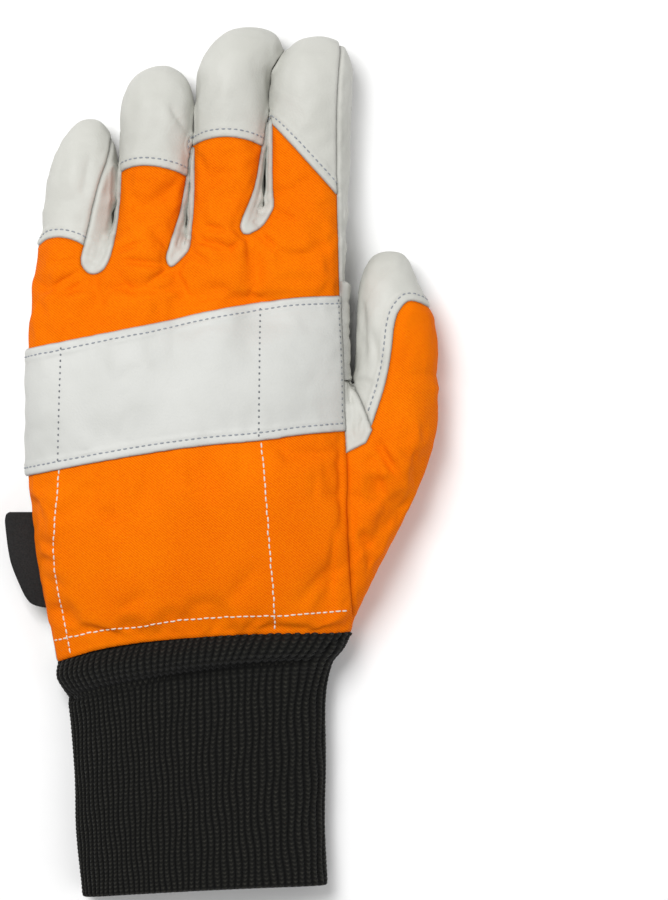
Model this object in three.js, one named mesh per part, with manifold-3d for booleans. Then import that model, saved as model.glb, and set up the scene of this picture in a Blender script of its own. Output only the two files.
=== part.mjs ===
import * as THREE from "three";
import { mergeVertices } from "three/addons/utils/BufferGeometryUtils.js";
import Module from "manifold-3d";

// A left-hand chainsaw glove, lying palm down: a padded orange textile back, white leather fingertips, band,
// gussets and palm, a quilted leather patch under the palm, and a black knitted cuff. Every wall is hollow.
// Millimetres. X runs across the hand towards the thumb, Y from the wrist to the fingertips, Z up. The origin is
// where the heel of the palm rests, so Z = 0 is the surface that the glove lies on.

const wasm = await Module();
wasm.setup();

// Walls and clearances
const LEATHER_WALL = 1.4;
const BACK_WALL = 2.6;
const KNIT_WALL = 2.4;
const BAND_WALL = 1.6;
const PATCH_WALL = 2.6;
const SEAM_GAP = 0.3;
const FINGER_GAP = 0.6;
const WEB_OVERLAP = 1.5;

// Hand, from the cuff's seam to the line where the fingers start
const HAND_LENGTH = 118;
const HEEL_REST = 36;
const HAND_HEIGHT = 35;
const HAND_BULGE = 4.6;
const CROTCH_DIP = 3.2;
const CROTCH_DIP_WIDTH = 8;
const WRIST_WIDTH = 100;
const WRIST_SHIFT = 3.2;
const WRIST_SLANT = 9.5;
const WRIST_ARCH = 3.7;
const THUMB_SIDE_EDGE = 49.5;

// Fingers. Each row has its length from the knuckle line, its width and height halfway, how far its tip leans
// towards the thumb, where the leather cap's hem crosses its two edges, measured back from the tip, and how far
// the hem arches towards the tip between them.
const FINGERS = [
  { name: "little", length: 62.5, width: 24, height: 20, lean: 2.6, hemLeft: 43.5, hemRight: 44.5, arch: 2.9 },
  { name: "ring", length: 80, width: 24.8, height: 22.5, lean: 3.4, hemLeft: 36.7, hemRight: 38.4, arch: 2.9 },
  { name: "middle", length: 93, width: 25.2, height: 24, lean: 5.5, hemLeft: 40.8, hemRight: 40.5, arch: 2.7 },
  { name: "index", length: 90, width: 28.8, height: 24.5, lean: 1.6, hemLeft: 30, hemRight: 55, arch: 0.6 },
];
const NOSE_LENGTH = 16.5;
const NOSE_POWER = 2.2;
const GUSSET_WIDTH = 8;
const INDEX_SIDE_STRIP = 4.2;

// Crotches between neighbouring fingers, measured up from the knuckle line
const CROTCH_HEIGHTS = [11.5, 13, 24.5];

// Thumb, from its root near the wrist to its tip
const THUMB_LENGTH = 127;
const THUMB_ROOT_X = 43.5;
const THUMB_ROOT_Y = -28;
const THUMB_SPREAD = 25.2;
const THUMB_WIDTH = 28;
const THUMB_HEIGHT = 24.5;

// Band over the knuckles, measured up from the cuff's seam at its two ends
const BAND_LOW_LEFT = 58;
const BAND_LOW_RIGHT = 73.3;
const BAND_HEIGHT_LEFT = 43.2;
const BAND_HEIGHT_RIGHT = 45.9;

// Quilted patch under the palm, measured up from the cuff's seam, and how far it climbs the thumb side
const PATCH_LOW = 88.6;
const PATCH_LENGTH = 35.7;
const PATCH_SLANT = 2;
const PATCH_LEFT_INSET = 6;
const PATCH_RISE = 23;
const QUILT_GROOVE = 1.8;
const QUILT_DEPTH = 1.1;

// Knitted cuff
const CUFF_LENGTH = 83;
const CUFF_WIDTH = 84;
const CUFF_HEIGHT = 20;
const CUFF_END_SLANT = 4;

// Folded tab in the outer side seam
const TAB_LENGTH = 32.6;
const TAB_REACH = 10.5;
const TAB_THICKNESS = 1.6;
const TAB_RISE = 14;
const TAB_FROM_WRIST = 13.2;

// Height of the side seams where the leather front meets the back, at the wrist and at the longest fingertip
const SEAM_HEIGHT_WRIST = 14;
const SEAM_HEIGHT_TIP = 7.5;

const WRIST_Y = -HEEL_REST;
const KNUCKLE_Y = WRIST_Y + HAND_LENGTH;
const LONGEST_FINGER = Math.max(...FINGERS.map((finger) => finger.length));
const TIP_Y = KNUCKLE_Y + LONGEST_FINGER;
const FAR = TIP_Y + HAND_LENGTH + CUFF_LENGTH;
const PALM_LIFT = PATCH_WALL + SEAM_GAP;

const HAND_SIDES = 28;
const FINGER_SIDES = 16;
const mix = (a, b, t) => a + (b - a) * t;

// A number that follows rows of { at, ...columns }, in straight lines between the rows.
function follow(rows, column, at) {
  const last = rows[rows.length - 1];
  if (at <= rows[0].at) return rows[0][column];
  if (at >= last.at) return last[column];
  const next = rows.findIndex((row) => row.at > at);
  const [a, b] = [rows[next - 1], rows[next]];
  return mix(a[column], b[column], (at - a.at) / (b.at - a.at));
}

// A rib is one cross-section: its left and right edge in plan, its lowest and highest point, and how square it is.
// The lower half is drawn too deep and then flattened, as cloth and leather are where they lie on a surface.
const FLATTEN = 1.3;
const WIDEST_POINT = 0.45;
function ringOf(rib, sides) {
  const middle = mix(rib.bottom, rib.top, WIDEST_POINT);
  const points = [];
  for (let i = 0; i < sides; i++) {
    const angle = ((i + 0.5) / sides) * 2 * Math.PI;
    const power = 2 / rib.square;
    const across = Math.sign(Math.cos(angle)) * Math.abs(Math.cos(angle)) ** power;
    const up = Math.sign(Math.sin(angle)) * Math.abs(Math.sin(angle)) ** power;
    const share = (across + 1) / 2;
    const x = mix(rib.left[0], rib.right[0], share);
    const y = mix(rib.left[1], rib.right[1], share) + (rib.arch ?? 0) * (1 - across * across);
    const below = Math.max(middle + up * (middle - rib.bottom) * FLATTEN, rib.bottom);
    const above = middle + up * (rib.top - middle) - up * (rib.dip ? rib.dip(x, y) : 0);
    points.push([x, y, up > 0 ? above : below]);
  }
  return points;
}

function solidFrom(geometry) {
  const bare = geometry.clone();
  bare.deleteAttribute("normal");
  bare.deleteAttribute("uv");
  const merged = mergeVertices(bare, 1e-4);
  const mesh = { numProp: 3, vertProperties: merged.attributes.position.array };
  return new wasm.Manifold(new wasm.Mesh({ ...mesh, triVerts: new Uint32Array(merged.index.array) }));
}

// A closed solid through the ribs, in order of rising Y, with a flat fan at each end.
function loft(ribs, sides) {
  const rings = ribs.map((rib) => ringOf(rib, sides));
  const centre = (ring) => [0, 1, 2].map((k) => ring.reduce((sum, p) => sum + p[k], 0) / sides);
  const vertices = [...rings.flat(), centre(rings[0]), centre(rings[rings.length - 1])];
  const first = rings.length * sides;
  const faces = [];
  for (let i = 0; i < sides; i++) {
    const next = (i + 1) % sides;
    for (let r = 0; r + 1 < rings.length; r++) {
      const [a, b] = [r * sides + i, r * sides + next];
      faces.push([a, a + sides, b], [b, a + sides, b + sides]);
    }
    const end = (rings.length - 1) * sides;
    faces.push([first, i, next], [first + 1, end + next, end + i]);
  }
  const geometry = new THREE.BufferGeometry();
  geometry.setAttribute("position", new THREE.Float32BufferAttribute(vertices.flat(), 3));
  geometry.setIndex(faces.flat());
  return solidFrom(geometry);
}

// The solid over a plan outline, from one height to another.
function prism(outline, low = -FAR, high = FAR) {
  const shape = new THREE.Shape(outline.map(([x, y]) => new THREE.Vector2(x, y)));
  const geometry = new THREE.ExtrudeGeometry(shape, { depth: high - low, bevelEnabled: false });
  geometry.translate(0, 0, low);
  return solidFrom(geometry);
}

// The plan outline moved outwards by a clearance at every corner.
function grown(outline, by) {
  const turning = outline.reduce((sum, p, i) => {
    const q = outline[(i + 1) % outline.length];
    return sum + p[0] * q[1] - q[0] * p[1];
  }, 0);
  const sign = Math.sign(turning);
  return outline.map((p, i) => {
    const before = outline[(i + outline.length - 1) % outline.length];
    const after = outline[(i + 1) % outline.length];
    const [a, b] = [before, p].map((from, k) => {
      const to = [p, after][k];
      const length = Math.hypot(to[0] - from[0], to[1] - from[1]);
      return [(to[1] - from[1]) / length, -(to[0] - from[0]) / length];
    });
    const [nx, ny] = [a[0] + b[0], a[1] + b[1]];
    const stretch = (sign * by * 2) / Math.max(nx * nx + ny * ny, 1);
    return [p[0] + nx * stretch, p[1] + ny * stretch];
  });
}

// Everything above or below the plane through the side seams.
function seamSide(above, shift = 0) {
  const height = (y) => mix(SEAM_HEIGHT_WRIST, SEAM_HEIGHT_TIP, (y - WRIST_Y) / (TIP_Y - WRIST_Y)) + shift;
  const profile = [-FAR, FAR].map((y) => [y, height(y)]);
  const outer = above ? FAR : -FAR;
  const shape = new THREE.Shape(
    [...profile, [FAR, outer], [-FAR, outer]].map(([y, z]) => new THREE.Vector2(y, z)),
  );
  const geometry = new THREE.ExtrudeGeometry(shape, { depth: 2 * FAR, bevelEnabled: false });
  geometry.translate(0, 0, -FAR);
  geometry.applyMatrix4(new THREE.Matrix4().makeBasis(
    new THREE.Vector3(0, 1, 0), new THREE.Vector3(0, 0, 1), new THREE.Vector3(1, 0, 0)));
  return solidFrom(geometry);
}

// Where the line between two neighbouring fingers runs: its X at a height above the knuckle line.
const WIDTH_ROWS = [
  { at: 0, little: 0.87, ring: 1.18, middle: 1.01, index: 1.05 },
  { at: 0.366, little: 1, ring: 1, middle: 1, index: 1 },
  { at: 0.806, little: 0.57, ring: 1.04, middle: 1.02, index: 0.97 },
];
const OUTER_EDGE_ROWS = [
  { at: 0, out: 0.03 },
  { at: 0.366, out: 0.08 },
  { at: 0.806, out: 0.13 },
];
function boundary(line, y) {
  const at = (y - KNUCKLE_Y) / LONGEST_FINGER;
  const index = FINGERS[FINGERS.length - 1];
  let x = THUMB_SIDE_EDGE + follow(OUTER_EDGE_ROWS, "out", at) * index.width;
  for (let k = FINGERS.length - 1; k >= line; k--) x -= FINGERS[k].width * follow(WIDTH_ROWS, FINGERS[k].name, at);
  return x;
}
const crotchY = (line) => KNUCKLE_Y + CROTCH_HEIGHTS[line - 1];

// A finger's two edges at a height. Below a crotch the finger runs into its neighbour, above it stands clear.
function fingerEdges(k, y, inset) {
  const side = (line, sign) => {
    const outside = line === 0 || line === FINGERS.length;
    if (outside) return boundary(line, y) + sign * inset.side;
    const clear = y > crotchY(line) - inset.side;
    return boundary(line, y) + sign * (clear ? FINGER_GAP / 2 + inset.side : -WEB_OVERLAP);
  };
  return [side(k, 1), side(k + 1, -1)];
}

const FINGER_HEIGHT_ROWS = [
  { at: -0.1, rise: 0.8, lift: 1 },
  { at: 0.04, rise: 1.08, lift: 1 },
  { at: 0.16, rise: 1.12, lift: 1 },
  { at: 0.4, rise: 1.02, lift: 0.15 },
  { at: 0.75, rise: 1, lift: 0 },
  { at: 1, rise: 0.96, lift: 0 },
];
const NOSE_STEPS = [0.3, 0.55, 0.75, 0.9, 0.98];
const ROOT_OVERLAP = 6;
function fingerRibs(k, inset) {
  const finger = FINGERS[k];
  const tip = KNUCKLE_Y + finger.length - inset.side;
  const noseStart = tip - NOSE_LENGTH + inset.side / 2;
  const rib = (y, scale, shift) => {
    const at = (y - KNUCKLE_Y) / finger.length;
    const [left, right] = fingerEdges(k, Math.min(y, noseStart), inset);
    const [middle, half] = [(left + right) / 2 + shift, ((right - left) / 2) * scale];
    const top = finger.height * follow(FINGER_HEIGHT_ROWS, "rise", at) - inset.top;
    const bottom = PALM_LIFT * follow(FINGER_HEIGHT_ROWS, "lift", at) + inset.bottom;
    const centre = mix(bottom, top, WIDEST_POINT);
    return {
      left: [middle - half, y], right: [middle + half, y], square: 2.3,
      bottom: mix(centre, bottom, scale), top: mix(centre, top, scale),
    };
  };
  const stops = [-ROOT_OVERLAP, 0.04 * finger.length, 0.16 * finger.length, 0.4 * finger.length].map((d) => KNUCKLE_Y + d);
  stops.push(noseStart);
  for (const line of [k, k + 1]) {
    if (line === 0 || line === FINGERS.length) continue;
    const crotch = crotchY(line) - inset.side;
    stops.push(crotch - 0.6, crotch + 0.6);
  }
  const body = stops.sort((a, b) => a - b).map((y) => rib(y, 1, 0));
  const nose = NOSE_STEPS.map((s) =>
    rib(mix(noseStart, tip, s), (1 - s ** NOSE_POWER) ** (1 / NOSE_POWER), finger.lean * s));
  return [...body, ...nose];
}

// The hand, from the cuff's seam to just past the knuckle line, where the fingers take over.
const HAND_ROWS = [
  { at: 0, bulge: 0, top: 0.68, lift: 0, slant: 1, dip: 0 },
  { at: 0.12, bulge: 0.41, top: 0.8, lift: 0, slant: 0.6, dip: 0 },
  { at: 0.3, bulge: 0.99, top: 0.93, lift: 0, slant: 0.2, dip: 0 },
  { at: 0.5, bulge: 0.84, top: 1, lift: 0, slant: 0, dip: 0 },
  { at: 0.68, bulge: 0.72, top: 0.98, lift: 0.6, slant: 0, dip: 0 },
  { at: 0.735, bulge: 0.61, top: 0.966, lift: 1, slant: 0, dip: 0.1 },
  { at: 0.86, bulge: 0.35, top: 0.92, lift: 1, slant: 0, dip: 0.5 },
  { at: 0.95, bulge: 0.15, top: 0.84, lift: 1, slant: 0, dip: 1 },
  { at: 1.02, bulge: 0, top: 0.74, lift: 1, slant: 0, dip: 1 },
  { at: 1.06, bulge: 0, top: 0.58, lift: 1, slant: 0, dip: 0.6 },
];
const HAND_SQUARE = 2.7;
// The back sinks a little between the knuckles, in line with each crotch.
function crotchDip(x) {
  const from = [1, 2, 3].map((line) => (x - boundary(line, KNUCKLE_Y)) / CROTCH_DIP_WIDTH);
  return CROTCH_DIP * from.reduce((sum, d) => sum + Math.exp(-d * d), 0);
}
function handRibs(inset, extend = 0) {
  const ribs = HAND_ROWS.map((row) => {
    const y = WRIST_Y + row.at * HAND_LENGTH;
    const share = Math.min(row.at, 1);
    const left = mix(WRIST_SHIFT - WRIST_WIDTH / 2, boundary(0, KNUCKLE_Y), share) - HAND_BULGE * row.bulge;
    const right = mix(WRIST_SHIFT + WRIST_WIDTH / 2, THUMB_SIDE_EDGE, Math.min(1, share * 1.6));
    const slant = (WRIST_SLANT / 2) * row.slant;
    const dip = (x) => row.dip * crotchDip(x);
    return {
      left: [left + inset.side, y - slant], right: [right - inset.side, y + slant], square: HAND_SQUARE,
      bottom: PALM_LIFT * row.lift + inset.bottom, top: HAND_HEIGHT * row.top - inset.top,
      arch: WRIST_ARCH * row.slant, dip,
    };
  });
  ribs[ribs.length - 1].left[1] -= inset.side;
  ribs[ribs.length - 1].right[1] -= inset.side;
  const start = ribs[0];
  if (extend > 0) {
    const back = (p) => [p[0], p[1] - extend];
    ribs.unshift({ ...start, left: back(start.left), right: back(start.right) });
  }
  return ribs;
}

// The thumb. "seam" is where its leather front meets its textile back, across the rib from -1 to 1.
const THUMB_ROWS = [
  { at: 0, across: 0, half: 0.7, rise: 0.86, lift: 0, seam: -0.2 },
  { at: 0.132, across: 0.2, half: 0.92, rise: 1, lift: 0, seam: -0.2 },
  { at: 0.288, across: 0.5, half: 1.1, rise: 1.1, lift: 0, seam: -0.3 },
  { at: 0.442, across: 0.73, half: 1.27, rise: 1.12, lift: 0, seam: -0.35 },
  { at: 0.558, across: 0.89, half: 1.18, rise: 1.06, lift: 0, seam: -0.36 },
  { at: 0.605, across: 0.905, half: 1.15, rise: 1.03, lift: 0, seam: -0.26 },
  { at: 0.64, across: 1, half: 1, rise: 1.02, lift: 0, seam: -0.24 },
  { at: 0.755, across: 0.99, half: 1, rise: 1, lift: 0, seam: -0.08 },
  { at: 0.84, across: 0.95, half: 0.9, rise: 0.96, lift: 0, seam: 0.2 },
  { at: 0.922, across: 0.875, half: 0.685, rise: 0.84, lift: 0.05, seam: 1 },
  { at: 0.973, across: 0.878, half: 0.52, rise: 0.68, lift: 0.15, seam: 1 },
  { at: 1, across: 0.905, half: 0.24, rise: 0.5, lift: 0.3, seam: 1 },
];
const THUMB_HEM_AT = 0.862;
function thumbPoint(at, across) {
  const centre = THUMB_ROOT_X + THUMB_SPREAD * follow(THUMB_ROWS, "across", at);
  const half = (THUMB_WIDTH / 2) * follow(THUMB_ROWS, "half", at);
  return [centre + across * half, THUMB_ROOT_Y + THUMB_LENGTH * at];
}
function thumbRibs(inset) {
  return THUMB_ROWS.map((row, i) => {
    const end = i === THUMB_ROWS.length - 1 ? inset.side : 0;
    const [left, right] = [thumbPoint(row.at, -1), thumbPoint(row.at, 1)];
    const shrink = Math.min(inset.side, (right[0] - left[0]) * 0.45);
    return {
      left: [left[0] + shrink, left[1] - end], right: [right[0] - shrink, right[1] - end], square: 2.3,
      bottom: THUMB_HEIGHT * row.lift + inset.bottom, top: THUMB_HEIGHT * row.rise - inset.top,
    };
  });
}

// The whole outer form and the whole hollow, which together make the wall that the panels are cut from
const OUTSIDE = { side: 0, top: 0, bottom: 0 };
const INSIDE = { side: LEATHER_WALL, top: BACK_WALL, bottom: LEATHER_WALL };
const joined = (solids) => solids.reduce((sum, solid) => sum.add(solid));
const fingersFrom = (inset) => FINGERS.map((_, k) => loft(fingerRibs(k, inset), FINGER_SIDES));
const hollowHand = loft(handRibs(INSIDE, CUFF_LENGTH), HAND_SIDES);
const hollow = joined([hollowHand, ...fingersFrom(INSIDE), loft(thumbRibs(INSIDE), FINGER_SIDES)]);
const thumbForm = loft(thumbRibs(OUTSIDE), FINGER_SIDES);
const outer = joined([loft(handRibs(OUTSIDE), HAND_SIDES), ...fingersFrom(OUTSIDE), thumbForm]);
let wall = outer.subtract(hollow);

// Cutting takes a panel out of the wall and leaves a seam's clearance round it.
function largest(solid) {
  return solid.decompose().reduce((best, part) => (part.volume() > best.volume() ? part : best));
}
function cutPanel(cutter, clearance) {
  const panel = largest(wall.intersect(cutter));
  wall = wall.subtract(clearance);
  return panel;
}
function cutPlan(outline, above) {
  const side = above === undefined ? [] : [seamSide(above), seamSide(above, above ? -SEAM_GAP : SEAM_GAP)];
  const cutter = prism(outline);
  const clearance = prism(grown(outline, SEAM_GAP));
  if (!side.length) return cutPanel(cutter, clearance);
  return cutPanel(cutter.intersect(side[0]), clearance.intersect(side[1]));
}

// Gussets between the fingers: a strip down one finger, round the crotch and up the next.
const GUSSET_ROWS = [
  { at: 0, left: 0.35, right: 0.05 },
  { at: 0.05, left: 0.85, right: 0.15 },
  { at: 0.14, left: 0.8, right: 0.3 },
  { at: 0.32, left: 0.45, right: 0.28 },
  { at: 0.6, left: 0.25, right: 0.16 },
  { at: 1.04, left: 0.2, right: 0.12 },
];
const CROTCH_DROP = 3;
function gussetEdge(line, column, sign) {
  const start = crotchY(line) - CROTCH_DROP;
  const reach = KNUCKLE_Y + Math.max(FINGERS[line - 1].length, FINGERS[line].length) - start;
  return GUSSET_ROWS.map((row) => {
    const y = start + row.at * reach;
    return [boundary(line, y) + sign * row[column] * GUSSET_WIDTH, y];
  });
}
const gussetOutline = (line) => [...gussetEdge(line, "left", -1), ...gussetEdge(line, "right", 1).reverse()];

// Fingertip caps: each reaches from its hem to the tip, and stands a little proud of the textile.
function capOutline(k) {
  const finger = FINGERS[k];
  const tip = KNUCKLE_Y + finger.length;
  const left = [boundary(k, tip - finger.hemLeft) - (k === 0 ? GUSSET_WIDTH : 0), tip - finger.hemLeft];
  const strip = k === FINGERS.length - 1 ? -INDEX_SIDE_STRIP : 0;
  const right = [boundary(k + 1, tip - finger.hemRight) + strip, tip - finger.hemRight];
  const past = tip + NOSE_LENGTH;
  const topRight = boundary(k + 1, tip) + strip + finger.lean;
  const hem = [0, 0.25, 0.5, 0.75, 1].map((s) =>
    [mix(left[0], right[0], s), mix(left[1], right[1], s) + finger.arch * 4 * s * (1 - s)]);
  return [...hem, [topRight, past], [left[0] + finger.lean, past]];
}

const panels = new Map();
for (const line of [1, 2, 3]) {
  const name = "gusset_" + FINGERS[line - 1].name + "_" + FINGERS[line].name;
  panels.set(name, cutPlan(gussetOutline(line), true));
}
FINGERS.forEach((finger, k) => panels.set("fingertip_" + finger.name, cutPlan(capOutline(k), true)));

// The textile back: all that is left on top, as far as the seam along the thumb side
const BACK_SEAM_ROWS = [
  { at: -0.2, inset: 0 },
  { at: 0.3, inset: 0 },
  { at: 0.8, inset: 0.15 },
  { at: 1, inset: 0.6 },
  { at: 1.25, inset: 1 },
  { at: 2, inset: 1 },
];
const backSeam = BACK_SEAM_ROWS.map((row) => {
  const y = WRIST_Y + row.at * HAND_LENGTH;
  const edge = mix(WRIST_SHIFT + WRIST_WIDTH / 2, boundary(FINGERS.length, y), Math.min(1, Math.max(0, row.at * 1.6)));
  return [edge - row.inset * INDEX_SIDE_STRIP, y];
});
const backOutline = [[-FAR, -FAR], [backSeam[0][0], -FAR], ...backSeam, [-FAR, FAR]];
panels.set("back_panel", cutPlan(backOutline, true));

// The thumb's leather gusset on top of its crotch
const THUMB_CROTCH_AT = 0.605;
const GUSSET_DROP = 21;
const GUSSET_FOOT_AT = 0.496;
const thumbCrotch = thumbPoint(THUMB_CROTCH_AT, -1);
const gussetHigh = [thumbCrotch[0], thumbCrotch[1] + FINGER_GAP * 5];
const gussetLow = [thumbCrotch[0], thumbCrotch[1] - GUSSET_DROP];
const gussetSide = [thumbPoint(THUMB_CROTCH_AT, -0.72)[0], gussetHigh[1]];
const gussetOutlineThumb = [gussetHigh, gussetLow, thumbPoint(GUSSET_FOOT_AT, -0.17), gussetSide];
panels.set("thumb_gusset", cutPlan(gussetOutlineThumb, true));

// The thumb's textile back, which wraps from its outer side round to the heel of the palm
const thumbSeam = [0.48, 0.558, 0.605, 0.64, 0.755, 0.82, THUMB_HEM_AT].map((at) =>
  thumbPoint(at, follow(THUMB_ROWS, "seam", at)));
const thumbOutside = [...thumbSeam, [FAR, thumbSeam[thumbSeam.length - 1][1]], [FAR, -FAR]];
const UNDER_THUMB_WIDTH = 30;
const underCorner = [WRIST_SHIFT + WRIST_WIDTH / 2 - UNDER_THUMB_WIDTH, WRIST_Y];
const thumbTop = [...thumbOutside, [0, -FAR], gussetLow];
const thumbUnder = [...thumbOutside, [underCorner[0], -FAR], underCorner];
const topAndUnder = (grow) =>
  prism(grown(thumbTop, grow)).intersect(seamSide(true, -SEAM_GAP * (grow > 0 ? 1 : 0)))
    .add(prism(grown(thumbUnder, grow)).intersect(seamSide(false)));
panels.set("thumb_back", cutPanel(topAndUnder(0), topAndUnder(SEAM_GAP)));

// The thumb's leather front: its tip, the side that faces the hand, and a strip down to the heel
const THUMB_STRIP_WIDTH = 9;
const stripFoot = [underCorner[0] - THUMB_STRIP_WIDTH, WRIST_Y];
const frontHigh = THUMB_ROOT_Y + THUMB_LENGTH + FINGER_GAP;
const frontSide = [gussetSide[0] - FINGER_GAP * 3, thumbPoint(0.64, -1)[1]];
const thumbFront = [
  thumbCrotch, frontSide, [frontSide[0], frontHigh], [FAR, frontHigh], [FAR, -FAR], [stripFoot[0], -FAR], stripFoot];
panels.set("thumb_front", cutPlan(thumbFront));

// The fronts of the middle and ring fingers, one piece of leather set into the palm
const FRONT_DROP = 2;
const frontLow = (line) => crotchY(line) - FRONT_DROP;
const ringFrontOutline = [
  [boundary(1, frontLow(1)), frontLow(1)],
  [boundary(2, frontLow(2)), frontLow(2) - FRONT_DROP / 2],
  [boundary(3, frontLow(2)), frontLow(2)],
  [boundary(3, crotchY(3)), crotchY(3)],
  [boundary(3, TIP_Y) + FINGERS.find((finger) => finger.name === "middle").lean, TIP_Y],
  [boundary(1, TIP_Y), TIP_Y],
  [boundary(1, crotchY(1)), crotchY(1)],
];
panels.set("middle_ring_front", cutPlan(ringFrontOutline));
panels.set("palm", largest(wall));

// Layers that lie on the glove: a form grown by a clearance is taken out of one grown by the layer's thickness.
const raised = (by) => ({ side: -by, top: -by, bottom: -by });
function layer(thickness) {
  const forms = [SEAM_GAP + thickness, SEAM_GAP].map((by) =>
    joined([loft(handRibs(raised(by)), HAND_SIDES), ...FINGERS.map((_, k) => loft(fingerRibs(k, raised(by)), FINGER_SIDES))]));
  return forms[0].subtract(forms[1]);
}

const bandLow = [BAND_LOW_LEFT, BAND_LOW_RIGHT].map((up) => WRIST_Y + up);
const bandHigh = [bandLow[0] + BAND_HEIGHT_LEFT, bandLow[1] + BAND_HEIGHT_RIGHT];
const bandLeft = boundary(0, KNUCKLE_Y) - HAND_BULGE * 2;
const bandRight = THUMB_SIDE_EDGE - SEAM_GAP;
const BAND_ROWS = [
  { at: 0, low: 0, high: 0 },
  { at: 0.24, low: 0.33, high: 0.27 },
  { at: 0.5, low: 0.64, high: 0.57 },
  { at: 0.75, low: 0.79, high: 0.86 },
  { at: 1, low: 1, high: 1 },
];
const bandOutline = [
  ...BAND_ROWS.map((row) => [mix(bandLeft, bandRight, row.at), mix(bandLow[0], bandLow[1], row.low)]),
  ...BAND_ROWS.map((row) => [mix(bandLeft, bandRight, row.at), mix(bandHigh[0], bandHigh[1], row.high)]).reverse(),
];
const bandCutter = prism(bandOutline).intersect(seamSide(true));
panels.set("knuckle_band", largest(layer(BAND_WALL).intersect(bandCutter)));

// The quilted patch wraps under the palm and up both sides. Grooves part its channels: each row has its place
// from the patch's lower edge to its upper one.
const QUILT_ROWS = [{ at: 0.09 }, { at: 0.2 }, { at: 0.47 }, { at: 0.57 }, { at: 0.8 }];
const patchLeft = boundary(0, KNUCKLE_Y) + PATCH_LEFT_INSET;
const patchRight = THUMB_SIDE_EDGE + GUSSET_WIDTH;
const patchStep = bandRight + SEAM_GAP;
const patchSection = [
  [-FAR, -FAR], [FAR, -FAR], [FAR, PATCH_RISE], [patchStep, PATCH_RISE], [patchStep, SEAM_HEIGHT_TIP], [-FAR, SEAM_HEIGHT_TIP]];
const patchSlab = new THREE.ExtrudeGeometry(
  new THREE.Shape(patchSection.map(([x, z]) => new THREE.Vector2(x, z))), { depth: 2 * FAR, bevelEnabled: false });
patchSlab.rotateX(Math.PI / 2);
patchSlab.translate(0, FAR, 0);
function patchStrip(from, to) {
  const y = (share) => WRIST_Y + PATCH_LOW + PATCH_LENGTH * share;
  return [
    [patchRight, y(from)], [patchRight, y(to)],
    [patchLeft, y(to) + PATCH_SLANT], [patchLeft, y(from) + PATCH_SLANT]];
}
const thumbClearance = loft(thumbRibs(raised(SEAM_GAP)), FINGER_SIDES);
let patch = layer(PATCH_WALL).intersect(solidFrom(patchSlab)).intersect(prism(patchStrip(0, 1)));
patch = patch.subtract(thumbClearance);
for (const row of QUILT_ROWS) {
  const half = QUILT_GROOVE / PATCH_LENGTH / 2;
  patch = patch.subtract(prism(patchStrip(row.at - half, row.at + half), -QUILT_DEPTH, QUILT_DEPTH));
}
panels.set("palm_patch", largest(patch));

// The knitted cuff: full and rolled where it is sewn on, drawn in below that, and open at the end
const CUFF_ROWS = [
  { at: 0, width: 0, top: 1.19, slant: 1, shift: 0, arch: 1 },
  { at: 0.06, width: 0.175, top: 1.22, slant: 1, shift: -0.45, arch: 1 },
  { at: 0.12, width: 0.55, top: 1.12, slant: 1, shift: -0.7, arch: 0.8 },
  { at: 0.17, width: 0.675, top: 0.98, slant: 1, shift: -0.7, arch: 0.6 },
  { at: 0.32, width: 0.84, top: 0.92, slant: 0.9, shift: -0.7, arch: 0.2 },
  { at: 0.6, width: 0.975, top: 0.9, slant: 0.7, shift: -0.57, arch: 0 },
  { at: 0.82, width: 1, top: 0.95, slant: 0.3, shift: -0.34, arch: 0 },
  { at: 1, width: 1, top: 1, slant: 0, shift: -0.12, arch: 0.2 },
];
function cuffRibs(inset, extend) {
  const rib = (row, y) => {
    const half = mix(WRIST_WIDTH, CUFF_WIDTH, row.width) / 2 - inset;
    const middle = WRIST_SHIFT * (1 + row.shift);
    const slant = mix(CUFF_END_SLANT, WRIST_SLANT, row.slant) / 2;
    return {
      left: [middle - half, y - slant], right: [middle + half, y + slant], square: 2.6,
      bottom: inset, top: CUFF_HEIGHT * row.top - inset, arch: WRIST_ARCH * row.arch,
    };
  };
  const ribs = CUFF_ROWS.map((row) => rib(row, WRIST_Y - SEAM_GAP - row.at * CUFF_LENGTH)).reverse();
  if (!extend) return ribs;
  const low = rib(CUFF_ROWS[CUFF_ROWS.length - 1], WRIST_Y - CUFF_LENGTH - extend);
  const high = rib(CUFF_ROWS[0], WRIST_Y + extend);
  return [low, ...ribs, high];
}
const cuffForm = loft(cuffRibs(0, 0), HAND_SIDES);
panels.set("cuff", cuffForm.subtract(loft(cuffRibs(KNIT_WALL, CUFF_END_SLANT), HAND_SIDES)));

// The folded tab stands out of the outer side seam, just above the cuff.
const tabLow = WRIST_Y + TAB_FROM_WRIST;
const tabHigh = tabLow + TAB_LENGTH;
const tabEdge = (y) => {
  const rows = handRibs(OUTSIDE).map((rib) => ({ at: rib.left[1], x: rib.left[0] }));
  return follow(rows, "x", y);
};
const TAB_ROWS = [
  { at: 0, out: -1 },
  { at: 0, out: 0.1 },
  { at: 0.01, out: 0.33 },
  { at: 0.06, out: 0.64 },
  { at: 0.24, out: 0.84 },
  { at: 0.53, out: 0.985 },
  { at: 0.88, out: 1 },
  { at: 0.98, out: 0.92 },
  { at: 1, out: 0.8 },
  { at: 1, out: -1 },
];
const tabShape = TAB_ROWS.map((row) => {
  const y = mix(tabLow, tabHigh, row.at);
  return [tabEdge(y) - TAB_REACH * row.out, y];
});
const tabBlock = prism(tabShape, TAB_RISE - TAB_THICKNESS / 2, TAB_RISE + TAB_THICKNESS / 2);
const handClearance = loft(handRibs(raised(SEAM_GAP)), HAND_SIDES);
panels.set("side_tab", largest(tabBlock.subtract(handClearance)));

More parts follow.
